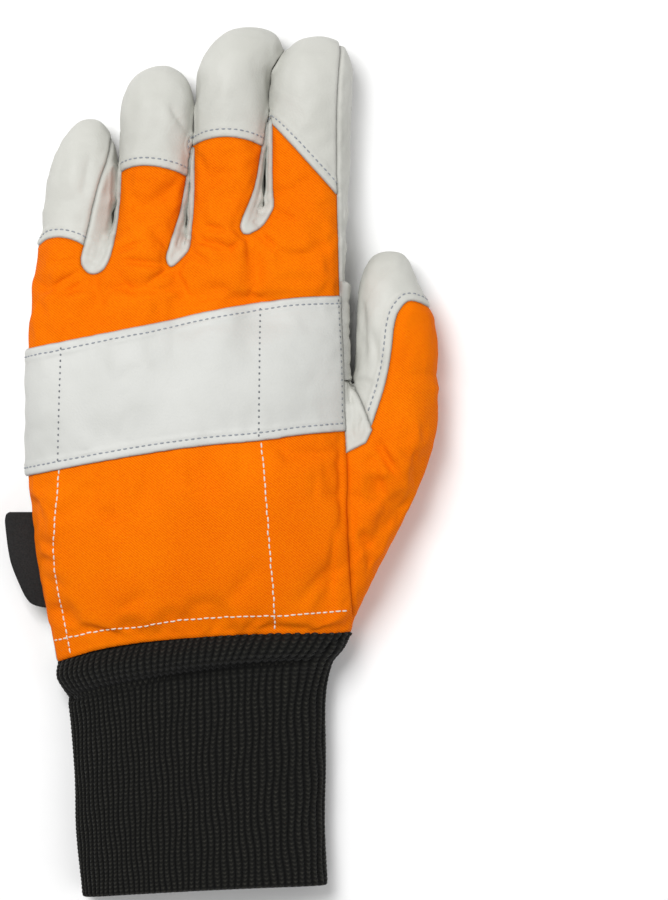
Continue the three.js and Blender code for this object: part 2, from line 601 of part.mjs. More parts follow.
// Materials
const leather = new THREE.MeshStandardMaterial({ color: 0xd9d8d1, roughness: 0.62, metalness: 0 });
const textile = new THREE.MeshStandardMaterial({ color: 0xf57a05, roughness: 0.55, metalness: 0 });
const knit = new THREE.MeshStandardMaterial({ color: 0x1f1f1d, roughness: 0.95, metalness: 0 });
const tabMaterial = new THREE.MeshStandardMaterial({ color: 0x1a1a1a, roughness: 0.5, metalness: 0 });
const MATERIALS = { back_panel: textile, thumb_back: textile, cuff: knit, side_tab: tabMaterial };

function geometryOf(solid) {
  const { vertProperties, triVerts } = solid.getMesh();
  const geometry = new THREE.BufferGeometry();
  geometry.setAttribute("position", new THREE.BufferAttribute(vertProperties, 3));
  geometry.setIndex(new THREE.BufferAttribute(triVerts, 1));
  return geometry;
}
function meshOf(name, solid) {
  const whole = largest(solidFrom(mergeVertices(geometryOf(solid), 1e-3)));
  const mesh = new THREE.Mesh(geometryOf(whole), MATERIALS[name] ?? leather);
  mesh.geometry.computeVertexNormals();
  mesh.name = name;
  return mesh;
}

const glove = new THREE.Group();
for (const [name, solid] of panels) glove.add(meshOf(name, solid));

export default glove;
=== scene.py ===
# %% [markdown]
# # A chainsaw glove, left hand
# The glove lies on its palm: a padded orange textile back, white leather fingertips, band, gussets and palm,
# a quilted patch under the palm and a long black rib-knit cuff. The engineering solids give the size and the
# place of every piece. Here the same pieces get the soft forms, hems, puckers, stitches and cloth that a
# sewing room would give them.

# %% Load the fixed frame
import math

import bpy
import numpy as np
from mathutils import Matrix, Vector
from mathutils.bvhtree import BVHTree
from mathutils.kdtree import KDTree


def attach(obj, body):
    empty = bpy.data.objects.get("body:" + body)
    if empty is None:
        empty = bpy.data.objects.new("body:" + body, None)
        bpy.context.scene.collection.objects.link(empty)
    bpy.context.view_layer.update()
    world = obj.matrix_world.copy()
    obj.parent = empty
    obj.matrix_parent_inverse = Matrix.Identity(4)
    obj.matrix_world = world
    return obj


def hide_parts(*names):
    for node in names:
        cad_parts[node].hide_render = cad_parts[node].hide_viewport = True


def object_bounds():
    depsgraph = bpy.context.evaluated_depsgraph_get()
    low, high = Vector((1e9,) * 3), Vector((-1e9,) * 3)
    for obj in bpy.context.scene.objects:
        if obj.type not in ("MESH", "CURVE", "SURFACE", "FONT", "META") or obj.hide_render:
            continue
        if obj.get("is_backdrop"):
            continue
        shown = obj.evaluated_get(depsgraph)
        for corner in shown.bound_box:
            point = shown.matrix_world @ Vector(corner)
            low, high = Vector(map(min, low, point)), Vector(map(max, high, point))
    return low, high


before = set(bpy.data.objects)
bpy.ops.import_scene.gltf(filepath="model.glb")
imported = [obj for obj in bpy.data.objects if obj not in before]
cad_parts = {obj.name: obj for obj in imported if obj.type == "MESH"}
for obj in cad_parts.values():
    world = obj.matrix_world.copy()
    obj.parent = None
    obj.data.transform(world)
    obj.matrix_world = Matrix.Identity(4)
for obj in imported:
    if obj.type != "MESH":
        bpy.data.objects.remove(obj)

cad_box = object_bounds()
MM = 0.001
print("engineering box in mm:", [[round(c / MM, 1) for c in corner] for corner in cad_box])

# %% [markdown]
# ## Camera, floor and light
# The photograph looks straight down, so the camera hangs above the glove on a long lens, which keeps the
# outline free of perspective. The lens is worked out from the plan size that the picture has to cover. The
# light is a plain studio: a wide soft box overhead, one weaker box from the fingertips' side, and a pale room.

# %% Camera
PICTURE_WIDTH, PICTURE_HEIGHT = 227.1, 306.0
PICTURE_CENTRE = (47.0, 30.9)
CAMERA_HEIGHT = 1800
SENSOR = 36
scene = bpy.context.scene
camera_data = bpy.data.cameras.new("camera")
camera_data.sensor_width = SENSOR
camera_data.lens = SENSOR * (CAMERA_HEIGHT - 14) / PICTURE_HEIGHT
camera_data.clip_end = 20
camera = bpy.data.objects.new("camera", camera_data)
camera.location = (PICTURE_CENTRE[0] * MM, PICTURE_CENTRE[1] * MM, CAMERA_HEIGHT * MM)
scene.collection.objects.link(camera)
scene.camera = camera

# %% Lights and room
def soft_box(name, place, size, watts, aim):
    light = bpy.data.lights.new(name, "AREA")
    light.shape = "RECTANGLE"
    light.size, light.size_y = size
    light.energy = watts
    lamp = bpy.data.objects.new(name, light)
    lamp.location = place
    lamp.rotation_euler = (Vector(aim) - Vector(place)).to_track_quat("-Z", "Y").to_euler()
    scene.collection.objects.link(lamp)

soft_box("overhead", (-0.4, 0.55, 1.25), (0.7, 0.7), 17, (0.02, 0.03, 0))
soft_box("fill", (0.9, -0.5, 0.9), (1.2, 1.2), 4.5, (0.02, 0.03, 0))
room = bpy.data.worlds.new("room")
scene.world = room
room.use_nodes = True
room.node_tree.nodes["Background"].inputs["Color"].default_value = (1, 1, 1, 1)
room.node_tree.nodes["Background"].inputs["Strength"].default_value = 0.36
scene.view_settings.view_transform = "Standard"

# %% Helpers for pieces and for curves through a few given sizes
def deselect():
    for thing in list(bpy.context.selected_objects):
        thing.select_set(False)

def take(piece):
    deselect()
    piece.select_set(True)
    bpy.context.view_layer.objects.active = piece

def piece_from(name, points, faces):
    """a new piece from points in millimetres"""
    mesh = bpy.data.meshes.new(name)
    mesh.from_pydata((np.asarray(points, float) * MM).tolist(), [], faces if isinstance(faces, list) else faces.tolist())
    mesh.update()
    piece = bpy.data.objects.new(name, mesh)
    scene.collection.objects.link(piece)
    return piece

def points_of(piece):
    flat = np.empty(len(piece.data.vertices) * 3)
    piece.data.vertices.foreach_get("co", flat)
    return flat.reshape(-1, 3) / MM

def put_points(piece, points):
    piece.data.vertices.foreach_set("co", (points * MM).ravel())
    piece.data.update()

def curve(places, values):
    """a smooth line through set values that never overshoots them"""
    places, values = np.array(places, float), np.array(values, float)
    step = np.diff(places)
    rise = np.diff(values) / step
    slope = np.zeros(len(places))
    for i in range(1, len(places) - 1):
        if rise[i - 1] * rise[i] > 0:
            a, b = 2 * step[i] + step[i - 1], step[i] + 2 * step[i - 1]
            slope[i] = (a + b) / (a / rise[i - 1] + b / rise[i])
    slope[0], slope[-1] = rise[0], rise[-1]
    def at(x):
        x = np.clip(x, places[0], places[-1])
        i = np.clip(np.searchsorted(places, x, side="right") - 1, 0, len(step) - 1)
        t = (x - places[i]) / step[i]
        return ((2 * t**3 - 3 * t**2 + 1) * values[i] + (t**3 - 2 * t**2 + t) * step[i] * slope[i]
                + (3 * t**2 - 2 * t**3) * values[i + 1] + (t**3 - t**2) * step[i] * slope[i + 1])
    return at

def table(rows):
    """one smooth line for each column of a table whose first column is the place"""
    columns = list(zip(*rows))
    return [curve(columns[0], column) for column in columns[1:]]

def ease(t):
    t = np.clip(t, 0, 1)
    return t * t * (3 - 2 * t)

def mix(a, b, t):
    return a + (b - a) * t

# %% Floor
deselect()
bpy.ops.mesh.primitive_plane_add(size=6, location=(PICTURE_CENTRE[0] * MM, PICTURE_CENTRE[1] * MM, -0.0002))
floor = bpy.context.active_object
floor.name = "floor"
floor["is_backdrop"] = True

# %% [markdown]
# ## The body of the glove
# Under its panels a glove is one soft skin round a hand. It could be sculpted, or built as five tubes joined by
# hand. Here it is drawn as a boat builder would: cross-sections along the hand, each finger and the thumb, from
# the same sizes as the solids. The closed forms are then melted into one with a voxel remesh, which gives the
# soft webs between the fingers.

# %% Sizes of the hand and its fingers, in millimetres
WRIST_Y, KNUCKLE_Y, TIP_Y = -36, 82, 175
WRIST_CENTRE, WRIST_HALF, THUMB_SIDE = 3.2, 50, 49.5
PALM_LIFT = 2.9
LONGEST = TIP_Y - KNUCKLE_Y
# name, length, width, height, lean of the tip
FINGERS = [("little", 62.5, 24, 20, 3.3), ("ring", 80, 24.8, 22.5, 1.6),
           ("middle", 93, 25.2, 24, 4.7), ("index", 90, 28.8, 24.5, 2.2)]
# lines 1 to 3 part the fingers, line 4 parts the thumb from the index side
CROTCH_Y = {1: 102, 2: 100, 3: 112, 4: 52}
THUMB_GAP_X = 53.4
# height share, then each finger's width share and how far the index side stands out
finger_widths = table([
    (0, 0.885, 1.18, 1.01, 1.05, 0.03), (0.366, 1.03, 1, 1, 1, 0.08), (0.806, 0.57, 1.04, 1.02, 0.97, 0.13),
    (0.92, 0.57, 1.04, 1.21, 0.8, 0.13)])
finger_rise, finger_lift = table([
    (-0.1, 0.8, 1), (0.04, 1.08, 1), (0.16, 1.12, 1), (0.4, 1.02, 0.15), (0.75, 1, 0), (1, 0.96, 0)])

def boundary(line, y):
    """where the line between two fingers runs; line 0 is the outer side and 4 the index side"""
    share = (np.asarray(y, float) - KNUCKLE_Y) / LONGEST
    x = THUMB_SIDE + finger_widths[4](share) * FINGERS[3][2]
    for k in range(3, line - 1, -1):
        x = x - FINGERS[k][2] * finger_widths[k](share)
    return x

# %% Sections, and closed forms through them
def section(left, right, bottom, top, square, sides=56, arch=0, dip=None):
    turn = (np.arange(sides) + 0.5) / sides * 2 * math.pi
    across = np.sign(np.cos(turn)) * np.abs(np.cos(turn)) ** (2 / square)
    up = np.sign(np.sin(turn)) * np.abs(np.sin(turn)) ** (2 / square)
    share = (across + 1) / 2
    x = mix(left[0], right[0], share)
    y = mix(left[1], right[1], share) + arch * (1 - across**2)
    middle = mix(bottom, top, 0.45)
    below = np.maximum(middle + up * (middle - bottom) * 1.3, bottom)
    above = middle + up * (top - middle - (dip(x) if dip else 0))
    return np.stack([x, y, np.where(up > 0, above, below)], 1)

def closed_form(rings):
    sides = len(rings[0])
    points = np.concatenate(rings + [rings[0].mean(0)[None], rings[-1].mean(0)[None]])
    first = len(rings) * sides
    i = np.arange(sides)
    j = (i + 1) % sides
    faces = []
    for r in range(len(rings) - 1):
        a, b = r * sides, (r + 1) * sides
        faces += np.stack([a + i, a + j, b + j, b + i], 1).tolist()
    faces += np.stack([np.full(sides, first), j, i], 1).tolist()
    last = (len(rings) - 1) * sides
    faces += np.stack([np.full(sides, first + 1), last + i, last + j], 1).tolist()
    return points, faces

# %% The hand
# share of the hand's length, bulge of the outer side, top, lift, slant of the wrist, dip between the knuckles
HAND_LENGTH = KNUCKLE_Y - WRIST_Y
hand_bulge, hand_top, hand_lift, hand_slant, hand_dip = table([
    (0, 0.1, 0.68, 0, 1, 0), (0.12, 0.52, 0.8, 0, 0.6, 0), (0.3, 1.1, 0.93, 0, 0.2, 0), (0.5, 1.2, 1, 0, 0, 0),
    (0.68, 0.98, 0.98, 0.6, 0, 0), (0.735, 0.84, 0.966, 1, 0, 0.1), (0.86, 0.48, 0.92, 1, 0, 0.5),
    (0.95, 0.2, 0.84, 1, 0, 1), (1.02, 0, 0.74, 1, 0, 1), (1.06, 0, 0.58, 1, 0, 0.6)])

# share of the hand's length and place of the index side, just outside the seam
index_side, = table([(-0.01, 53.2), (0.3, 52.4), (0.62, 51.8), (0.75, 51.4), (0.86, 51.0), (0.98, 50.4), (1.06, 50.1)])

def hand_section(share):
    y = WRIST_Y + share * HAND_LENGTH
    s = min(share, 1)
    left = mix(WRIST_CENTRE - WRIST_HALF, boundary(0, KNUCKLE_Y), s) - 4.6 * hand_bulge(share)
    right = index_side(share)
    slant = 4.75 * hand_slant(share)
    def dip(x):
        sink = sum(np.exp(-((x - boundary(line, KNUCKLE_Y)) / 8) ** 2) for line in (1, 2, 3))
        return 3.2 * hand_dip(share) * sink
    return section((left, y - slant), (right, y + slant), PALM_LIFT * hand_lift(share), 35 * hand_top(share),
                   2.7, 120, 3.7 * hand_slant(share), dip)

below_wrist = hand_section(0) - np.array([0, 12, 0])
hand_form = closed_form([below_wrist] + [hand_section(s) for s in np.linspace(0, 1.06, 60)])

# %% The fingers, spread a little so that the remesh keeps them apart
SPREAD = 5.0
NOSE_FULL = {"middle": 0.55}
NOSE, SLIM_NOSE = 16.5, {"little": 25.0}
NOSE_POWER, SLIM_POWER = 2.2, {"little": 1.95}

def spread_at(line, y):
    return SPREAD * ease((y - CROTCH_Y[line] + 1) / 6)

def finger_shift(k, y):
    """how far finger k is moved while all are spread; the thumb is number 4"""
    return sum(spread_at(line, y) for line in range(1, k + 1)) - sum(spread_at(line, y) for line in (1, 2, 3)) / 2

def gap_start(line, y):
    """where the opened gap of a line begins"""
    return (THUMB_GAP_X if line == 4 else boundary(line, y)) + finger_shift(line - 1, y)

def closed_up(where):
    """bring the spread fingers back together"""
    where = where.copy()
    y = where[:, 1]
    for line in (4, 3, 2, 1):
        gap = spread_at(line, y)
        where[:, 0] -= gap * np.clip((where[:, 0] - gap_start(line, y)) / np.maximum(gap, 0.01), 0, 1)
    where[:, 0] -= finger_shift(0, y)
    return where

def right_of(line, where):
    """how far a point of the spread skin lies past the middle of a gap"""
    return where[:, 0] - gap_start(line, where[:, 1]) - spread_at(line, where[:, 1]) / 2

def finger_form(k):
    name, length, width, height, lean = FINGERS[k]
    tip = KNUCKLE_Y + length
    nose = tip - SLIM_NOSE.get(name, NOSE)
    def edge(line, y, sign):
        x = boundary(line, y)
        if line in (0, 4):
            return x
        overlap = mix(7, 1.5, ease((y - CROTCH_Y[line] + 9) / 8))
        return x + sign * mix(-overlap, 0.3, ease((y - CROTCH_Y[line] + 1) / 3))
    def ring(y, scale, lean_now, nose_share=0):
        base = min(y, nose)
        left, right = edge(k, base, 1), edge(k + 1, base, -1)
        middle, half = (left + right) / 2 + lean_now + finger_shift(k, y), (right - left) / 2 * scale
        share = (y - KNUCKLE_Y) / length
        bottom, top = PALM_LIFT * finger_lift(share), height * finger_rise(share)
        centre = mix(bottom, top, 0.45)
        full = 1 + NOSE_FULL.get(name, 0) * nose_share
        return section((middle - half, y), (middle + half * full, y), mix(centre, bottom, scale),
                       mix(centre, top, scale), 2.3)
    body = [ring(y, 1, 0) for y in np.arange(KNUCKLE_Y - 6, nose, 1.5)]
    power = SLIM_POWER.get(name, NOSE_POWER)
    caps = [ring(mix(nose, tip, s), (1 - s**power) ** (1 / power), lean * s, s) for s in np.sin(np.linspace(0, 1.52, 16))]
    return closed_form(body + caps)

# %% The thumb
# share of its length, place across, half width, height, lift
THUMB_ROOT, THUMB_LENGTH, THUMB_SPREAD = (43.5, -28), 127, 25.2
thumb_across, thumb_half, thumb_rise, thumb_lift = table([
    (0, 0, 0.7, 0.86, 0), (0.132, 0.2, 0.92, 1, 0), (0.288, 0.5, 1.1, 1.1, 0), (0.442, 0.73, 1.27, 1.12, 0),
    (0.558, 0.89, 1.18, 1.06, 0), (0.605, 0.905, 1.15, 1.03, 0), (0.64, 0.975, 1.03, 1.02, 0),
    (0.755, 0.99, 1, 1, 0), (0.84, 0.95, 0.9, 0.96, 0), (0.922, 0.875, 0.685, 0.84, 0.05),
    (0.973, 0.878, 0.5, 0.68, 0.15), (0.995, 0.9, 0.3, 0.55, 0.26), (1, 0.905, 0.1, 0.45, 0.36)])

def thumb_ring(share):
    centre = THUMB_ROOT[0] + THUMB_SPREAD * thumb_across(share)
    half, y = 14 * thumb_half(share), THUMB_ROOT[1] + THUMB_LENGTH * share
    centre += finger_shift(4, y)
    return section((centre - half, y), (centre + half, y), 24.5 * thumb_lift(share), 24.5 * thumb_rise(share), 2.3)

thumb_form = closed_form([thumb_ring(s) for s in 1 - (1 - np.linspace(0, 1, 80)) ** 1.3])

# %% Melt the forms into one skin
VOXEL = 2.8
points, faces, base = [], [], 0
for form_points, form_faces in [hand_form, thumb_form] + [finger_form(k) for k in range(4)]:
    points.append(form_points)
    faces += [[i + base for i in face] for face in form_faces]
    base += len(form_points)
skin = piece_from("skin", np.concatenate(points), faces)
take(skin)
skin.data.remesh_voxel_size = VOXEL * MM
bpy.ops.object.voxel_remesh()
smooth = skin.modifiers.new("smooth", "SMOOTH")
smooth.iterations, smooth.factor = 4, 0.5
bpy.ops.object.modifier_apply(modifier=smooth.name)
print("skin points:", len(skin.data.vertices))

# %% [markdown]
# ## Seam lines
# Every panel of the glove is cut to a plan outline. These are the outlines, in millimetres from the heel of the
# palm: a few corners each, read like a paper pattern laid over the glove. The side seam, where the leather of
# the palm meets the back, runs along the sides at its own height.

# %% Panel outlines
FAR = 400
HEMS = {
    "little": [(-63.1, 98.9), (-53.6, 100.2), (-51.6, 102.1), (-49.2, 103), (-45.1, 103.1), (-40.7, 101.9), (-37.6, 100.2), (-32.5, 96.8)],
    "ring": [(-29.1, 123.4), (-26.4, 124.7), (-23, 126.6), (-16.6, 127.4), (-8.7, 126.1), (-2.3, 123.7), (1.5, 121.7)],
    "middle": [(-5.3, 132.5), (-1.9, 133.9), (3.2, 136.1), (10.3, 137), (17.4, 136.1), (23.2, 133.9), (27.3, 132.5)],
    "index": [(22.5, 145.8), (25.9, 141.4), (37.2, 129.1), (48.4, 116.9), (49.7, 115.5)],
}
GUSSETS = {
    "gusset_little_ring": [(-34.6, 90), (-37.3, 91.4), (-39, 94.5), (-38, 99.2), (-36.6, 104.3), (-34.2, 115.2), (-32.2, 122.3), (-29.1, 130.8),
        (-28.5, 138.7), (-31.2, 143.8), (-31.2, 153.3), (-25.4, 155.3), (-25.7, 147.8), (-25.9, 142.4), (-25.4, 125.1), (-26.1, 113.2), (-27.4, 102.3),
        (-29, 95.1), (-31.2, 91.4)],
    "gusset_ring_middle": [(-8.1, 92.2), (-9.9, 94.8), (-9.1, 99.2), (-6.4, 106.7), (-4.7, 112.8), (-3, 123), (-1.9, 130.2),
        (-1.3, 134.2), (-0.6, 134.2), (-0.6, 129.5), (-0.7, 113.5), (-1.6, 105),
        (-1.8, 99.2), (-4.7, 95.5)],
    "gusset_middle_index": [(17.1, 103.1), (15.1, 105.7), (15.7, 108.7), (18.8, 115.5), (20.8, 121.3), (22.5, 132.9), (23.9, 139),
        (24.8, 143.8), (25.6, 143.8), (25.9, 139.7), (25.8, 121.3), (26.6, 113.8),
        (25.9, 111.5), (22.5, 106)],
}
INDEX_SEAM = [(48.4, 173.7), (49.7, 167.6), (49.1, 160.4), (48.4, 149.9), (48.2, 137), (48.2, 113.5), (48.6, 102.3), (48.9, 90),
              (49.1, 83.6), (50.1, 60.5), (50.8, 37.3), (51.4, 20.7), (52.5, -6.5), (53.8, -25.2), (54.8, -37.1)]
THUMB_GUSSET = [(47.7, 28.2), (47.7, 54.3), (52.8, 54.7), (56.5, 46.2), (61.1, 35)]
THUMB_SEAM = [(61.3, 35.3), (58.9, 37.7), (60.3, 40.7), (64.4, 53), (66.4, 63.5), (67.4, 74.4), (69.5, 79.2), (73.2, 82.4),
              (83.1, 77.8)]
BAND_TOP = [(-63.1, 63.9), (-56, 65.2), (-32.9, 69.6), (-8.7, 74.4), (3.8, 77.5), (23.2, 80.9), (34.8, 82.6), (49.1, 83.2)]
BAND_BOTTOM = [(-63.1, 21), (-57.2, 22), (-31.5, 27.1), (-0.2, 32.2), (22.5, 33.9), (34.8, 36), (50.6, 37.3)]
WRIST_LINE = [(-52.9, -43.2), (-47, -40.9), (-28.5, -35.4), (0.1, -32.4), (27, -31.3), (40.2, -31.5), (51.8, -31), (59.9, -30.3)]

def side_seam(y):
    return mix(10.8, 7.2, (y - WRIST_Y) / (TIP_Y - WRIST_Y))

def inside(outline, where):
    """how far each point lies inside an outline in plan, negative outside it"""
    corners = np.array(outline, float)
    x, y = where[:, 0], where[:, 1]
    nearest = np.full(len(where), 1e9)
    within = np.zeros(len(where), bool)
    for (ax, ay), (bx, by) in zip(corners, np.roll(corners, -1, 0)):
        dx, dy = bx - ax, by - ay
        t = np.clip(((x - ax) * dx + (y - ay) * dy) / (dx * dx + dy * dy), 0, 1)
        nearest = np.minimum(nearest, np.hypot(x - ax - t * dx, y - ay - t * dy))
        crosses = (ay > y) != (by > y)
        within ^= crosses & (x < ax + dx * (y - ay) / np.where(dy == 0, 1e-9, dy))
    return np.where(within, nearest, -nearest)

def from_line(line, where):
    """distance in plan from an open line"""
    nearest = np.full(len(where), 1e9)
    for (ax, ay), (bx, by) in zip(line, line[1:]):
        dx, dy = bx - ax, by - ay
        t = np.clip(((where[:, 0] - ax) * dx + (where[:, 1] - ay) * dy) / (dx * dx + dy * dy), 0, 1)
        nearest = np.minimum(nearest, np.hypot(where[:, 0] - ax - t * dx, where[:, 1] - ay - t * dy))
    return nearest

def beyond(line, where, axis):
    """how far a point lies past a line that is read along the other axis"""
    line = np.array(sorted(line, key=lambda p: p[1 - axis]))
    return where[:, axis] - np.interp(where[:, 1 - axis], line[:, 1 - axis], line[:, axis])

# %% Rounding the outlines, as scissors would
def rounded(outline, times=2):
    corners = np.array(outline, float)
    for _ in range(times):
        after = np.roll(corners, -1, 0)
        corners = np.stack([mix(corners, after, 0.25), mix(corners, after, 0.75)], 1).reshape(-1, 2)
    return corners

def rounded_line(line, times=2):
    corners = np.array(line, float)
    for _ in range(times):
        middle = np.stack([mix(corners[:-1], corners[1:], 0.25), mix(corners[:-1], corners[1:], 0.75)], 1)
        corners = np.concatenate([corners[:1], middle.reshape(-1, 2), corners[-1:]])
    return corners

def cap_field(k, spread):
    """how far a point of the spread skin lies inside a cap: past its hem and between its two gaps"""
    where = closed_up(spread)
    hem = rounded_line(HEMS[FINGERS[k][0]])
    margin = 15 if k == 0 else 5
    left, right = hem[0] - (margin, 0), hem[-1] + (5, 0)
    outline = np.concatenate([[left], hem, [right, (right[0] + 5, FAR), (left[0] - 5, FAR)]])
    field = inside(outline, where)
    if k > 0:
        field = np.minimum(field, right_of(k, spread))
    if k < 3:
        field = np.minimum(field, -right_of(k + 1, spread))
    else:
        field = np.minimum(field, -beyond(rounded_line(INDEX_SEAM), where, 0))
    return field

above = lambda where: where[:, 2] - side_seam(where[:, 1])
under = lambda where: -above(where)

def thumb_textile():
    return np.concatenate([rounded_line(THUMB_SEAM), [[FAR, 60], [FAR, -FAR], [45, -FAR], [48, 30]]])

# %% [markdown]
# ## Filling the skin
# The textile back is padded and the leather is soft, so nothing on a real glove is as even as a drawn form. A
# cloth simulation fills it: the seams are held, the cloth between them is a little larger than its place, and a
# light pressure from inside lifts it. It buckles into low folds between the seams, as it does on the bench.
# Cords and quilting come later, because they are finer than this mesh.

# %% Hold the seams and let the rest puff
def seam_distance(where):
    top = where[:, 2] > side_seam(where[:, 1])
    lines = [rounded_line(HEMS[name]) for name in HEMS] + [rounded(GUSSETS[name]) for name in GUSSETS]
    lines += [rounded(THUMB_GUSSET), rounded_line(THUMB_SEAM), rounded_line(INDEX_SEAM)]
    nearest = np.min([from_line(line, where) for line in lines], 0)
    band = np.minimum(from_line(rounded_line(BAND_TOP), where), from_line(rounded_line(BAND_BOTTOM), where))
    nearest = np.where(top, np.minimum(nearest, band), 1e9)
    return np.minimum(nearest, np.abs(where[:, 2] - side_seam(where[:, 1])) * 1.2)

LEATHER_EASE = 0.3

def leather_share(where):
    """1 where the skin is smooth leather, 0 on the padded textile"""
    tips = np.max([cap_field(k, where) for k in range(4)], 0)
    plan = closed_up(where)
    thumb_leather = np.minimum(beyond(rounded_line(INDEX_SEAM), plan, 0), -inside(thumb_textile(), plan))
    band = np.minimum(-beyond(rounded_line(BAND_TOP), plan, 1), beyond(rounded_line(BAND_BOTTOM), plan, 1))
    return np.maximum.reduce([ease(tips / 4), ease(thumb_leather / 4), ease(band / 4), ease(-above(where) / 4)])

drawn = points_of(skin)
held = ease(1 - seam_distance(closed_up(drawn)) / 5.0)
held = np.maximum(held, ease((-28 - drawn[:, 1]) / 5))
held = np.maximum(held, np.where(drawn[:, 2] < 0.5, 0.9, 0))
group = skin.vertex_groups.new(name="held")
for level in range(1, 11):
    chosen = np.where(np.round(held * 10).astype(int) == level)[0]
    if len(chosen):
        group.add(chosen.tolist(), level / 10, "REPLACE")
take(skin)
cloth = skin.modifiers.new("cloth", "CLOTH")
settings = cloth.settings
settings.quality = 5
settings.mass = 0.25
settings.tension_stiffness = settings.compression_stiffness = 12
settings.shear_stiffness = 4
settings.bending_stiffness = 0.12
settings.use_pressure = True
settings.uniform_pressure_force = 1.2
settings.vertex_group_mass = "held"
settings.pin_stiffness = 1.0
settings.shrink_min = -0.07
settings.effector_weights.gravity = 0
cloth.collision_settings.use_collision = False
for step in range(1, 19):
    scene.frame_set(step)
bpy.ops.object.modifier_apply(modifier=cloth.name)
scene.frame_set(1)
skin.vertex_groups.clear()
puffed = points_of(skin)
move = puffed - drawn
reach = np.linalg.norm(move, axis=1)
limit = 2.4
move *= (np.minimum(reach, limit) / np.maximum(reach, 1e-6))[:, None]
calm = np.maximum(leather_share(drawn), ease((21 - drawn[:, 2]) / 8))
move *= mix(1, LEATHER_EASE, calm)[:, None]
puffed = drawn + move
puffed[:, 2] = np.maximum(puffed[:, 2], 0.02)
put_points(skin, puffed)
print("cloth moved by up to", round(float(reach.max()), 2), "mm, mean", round(float(reach.mean()), 2))

# %% Refine the skin
take(skin)
refine = skin.modifiers.new("refine", "SUBSURF")
refine.levels = refine.render_levels = 2
bpy.ops.object.modifier_apply(modifier=refine.name)
V = points_of(skin)
quads = np.empty(len(skin.data.polygons) * 4, int)
skin.data.polygons.foreach_get("vertices", quads)
quads = quads.reshape(-1, 4)
F = np.concatenate([quads[:, [0, 1, 2]], quads[:, [0, 2, 3]]])
bpy.data.objects.remove(skin)
print("fine skin:", len(V), "points", len(F), "triangles")

def normals_of(V, F):
    cross = np.cross(V[F[:, 1]] - V[F[:, 0]], V[F[:, 2]] - V[F[:, 0]])
    total = np.zeros_like(V)
    for corner in range(3):
        np.add.at(total, F[:, corner], cross)
    return total / np.maximum(np.linalg.norm(total, axis=1), 1e-12)[:, None]

# %% [markdown]
# ## Folds and puckers
# Where a seam gathers the padded back, as at the crotches between the fingers, short folds run out from it.
# They are finer than the simulation, so they are pressed in here, each as a line with a width and a depth.

# %% Press the folds in
# from, to, width and depth of each crease, then the low swell beside it
FOLDS = [
    ((-24.4, 95.1), (-9.4, 93.1), 2.0, 1.3), ((-9.4, 91.7), (-16.9, 86.3), 2.2, 0.9), ((-27.1, 97.2), (-17.6, 101.9), 2.0, 0.8),
    ((1.1, 101.9), (12, 98.9), 2.4, 1.3), ((11.3, 98.2), (16.1, 102.3), 1.8, 1.1), ((3.2, 106.4), (12.7, 104.7), 2.0, 0.9),
    ((-47.5, 86.3), (-38, 92.1), 2.0, 0.9), ((-45.5, 82.2), (-37.3, 88.3), 2.2, 0.7), ((-49.5, 94.8), (-39.3, 94.5), 2.2, 0.6),
    ((-28.5, 92.1), (-18.9, 81.9), 2.6, 0.8), ((-33.9, 89.4), (-32.5, 79.8), 2.4, 0.7), ((-6.7, 91.4), (-1.9, 83.2), 2.4, 0.8),
    ((-1.3, 98.2), (6.2, 91.4), 2.2, 0.8), ((17.8, 102.3), (19.1, 92.8), 2.4, 0.8), ((21.2, 103.6), (30, 96.8), 2.4, 0.8),
    ((25.9, 111.1), (35.5, 108.4), 2.2, 0.8), ((24.6, 117.2), (34.1, 119.3), 2.2, 0.5), ((-8.7, 98.9), (-15.5, 107), 2.2, 0.7),
    ((61.6, 33.3), (70.8, 18.3), 3.0, 1.6), ((58.6, 30.2), (64.7, 12.2), 3.4, 1.0), ((64.7, 35), (76.3, 26.8), 3.0, 0.9),
    ((52.8, 14.9), (53.8, -18.8), 4.0, 1.6), ((56.5, 3.7), (59.9, -11.6), 3.4, 0.9), ((-8.4, 147.5), (-2.3, 138), 2.2, 0.7),
    ((-47.5, 121.3), (-44.1, 132.9), 2.6, 0.5), ((-38, 117.2), (-35.3, 132.9), 2.6, 0.5), ((3.2, 145.8), (9.6, 160.1), 3.0, 0.4),
    ((56.5, 81.9), (57.9, 57.4), 2.4, 0.9), ((59.9, 71.7), (63, 55.4), 2.6, 0.6), ((-52.9, 14.6), (-44.1, 7.1), 3.4, 0.8),
    ((-53.6, 0.3), (-44.8, -2.4), 3.4, 0.7), ((-52.3, -11.6), (-42.7, -16.7), 3.4, 0.7), ((-25.7, -23.5), (-15.5, -16.7), 4.0, 0.5),
    ((35.5, -21.8), (45.7, -6.5), 4.5, 0.5), ((11.7, -20.1), (22.5, -6.5), 4.5, 0.5), ((-54.3, 81.9), (-48.9, 75.1), 3.0, 0.7),
]
N = normals_of(V, F)
facing_up = ease((N[:, 2] - 0.05) / 0.4)
relief = np.zeros(len(V))
plan = closed_up(V)
for start, end, width, depth in FOLDS:
    (ax, ay), (bx, by) = start, end
    dx, dy = bx - ax, by - ay
    along = ((plan[:, 0] - ax) * dx + (plan[:, 1] - ay) * dy) / (dx * dx + dy * dy)
    length = math.hypot(dx, dy)
    off = ((plan[:, 0] - ax) * dy - (plan[:, 1] - ay) * dx) / length
    fade = ease((along + 0.12) / 0.3) * ease((1.12 - along) / 0.6)
    relief -= depth * fade * (np.exp(-(off / (0.55 * width)) ** 2) - 0.45 * np.exp(-((np.abs(off) - 1.5 * width) / width) ** 2))
V += N * (relief * facing_up)[:, None]

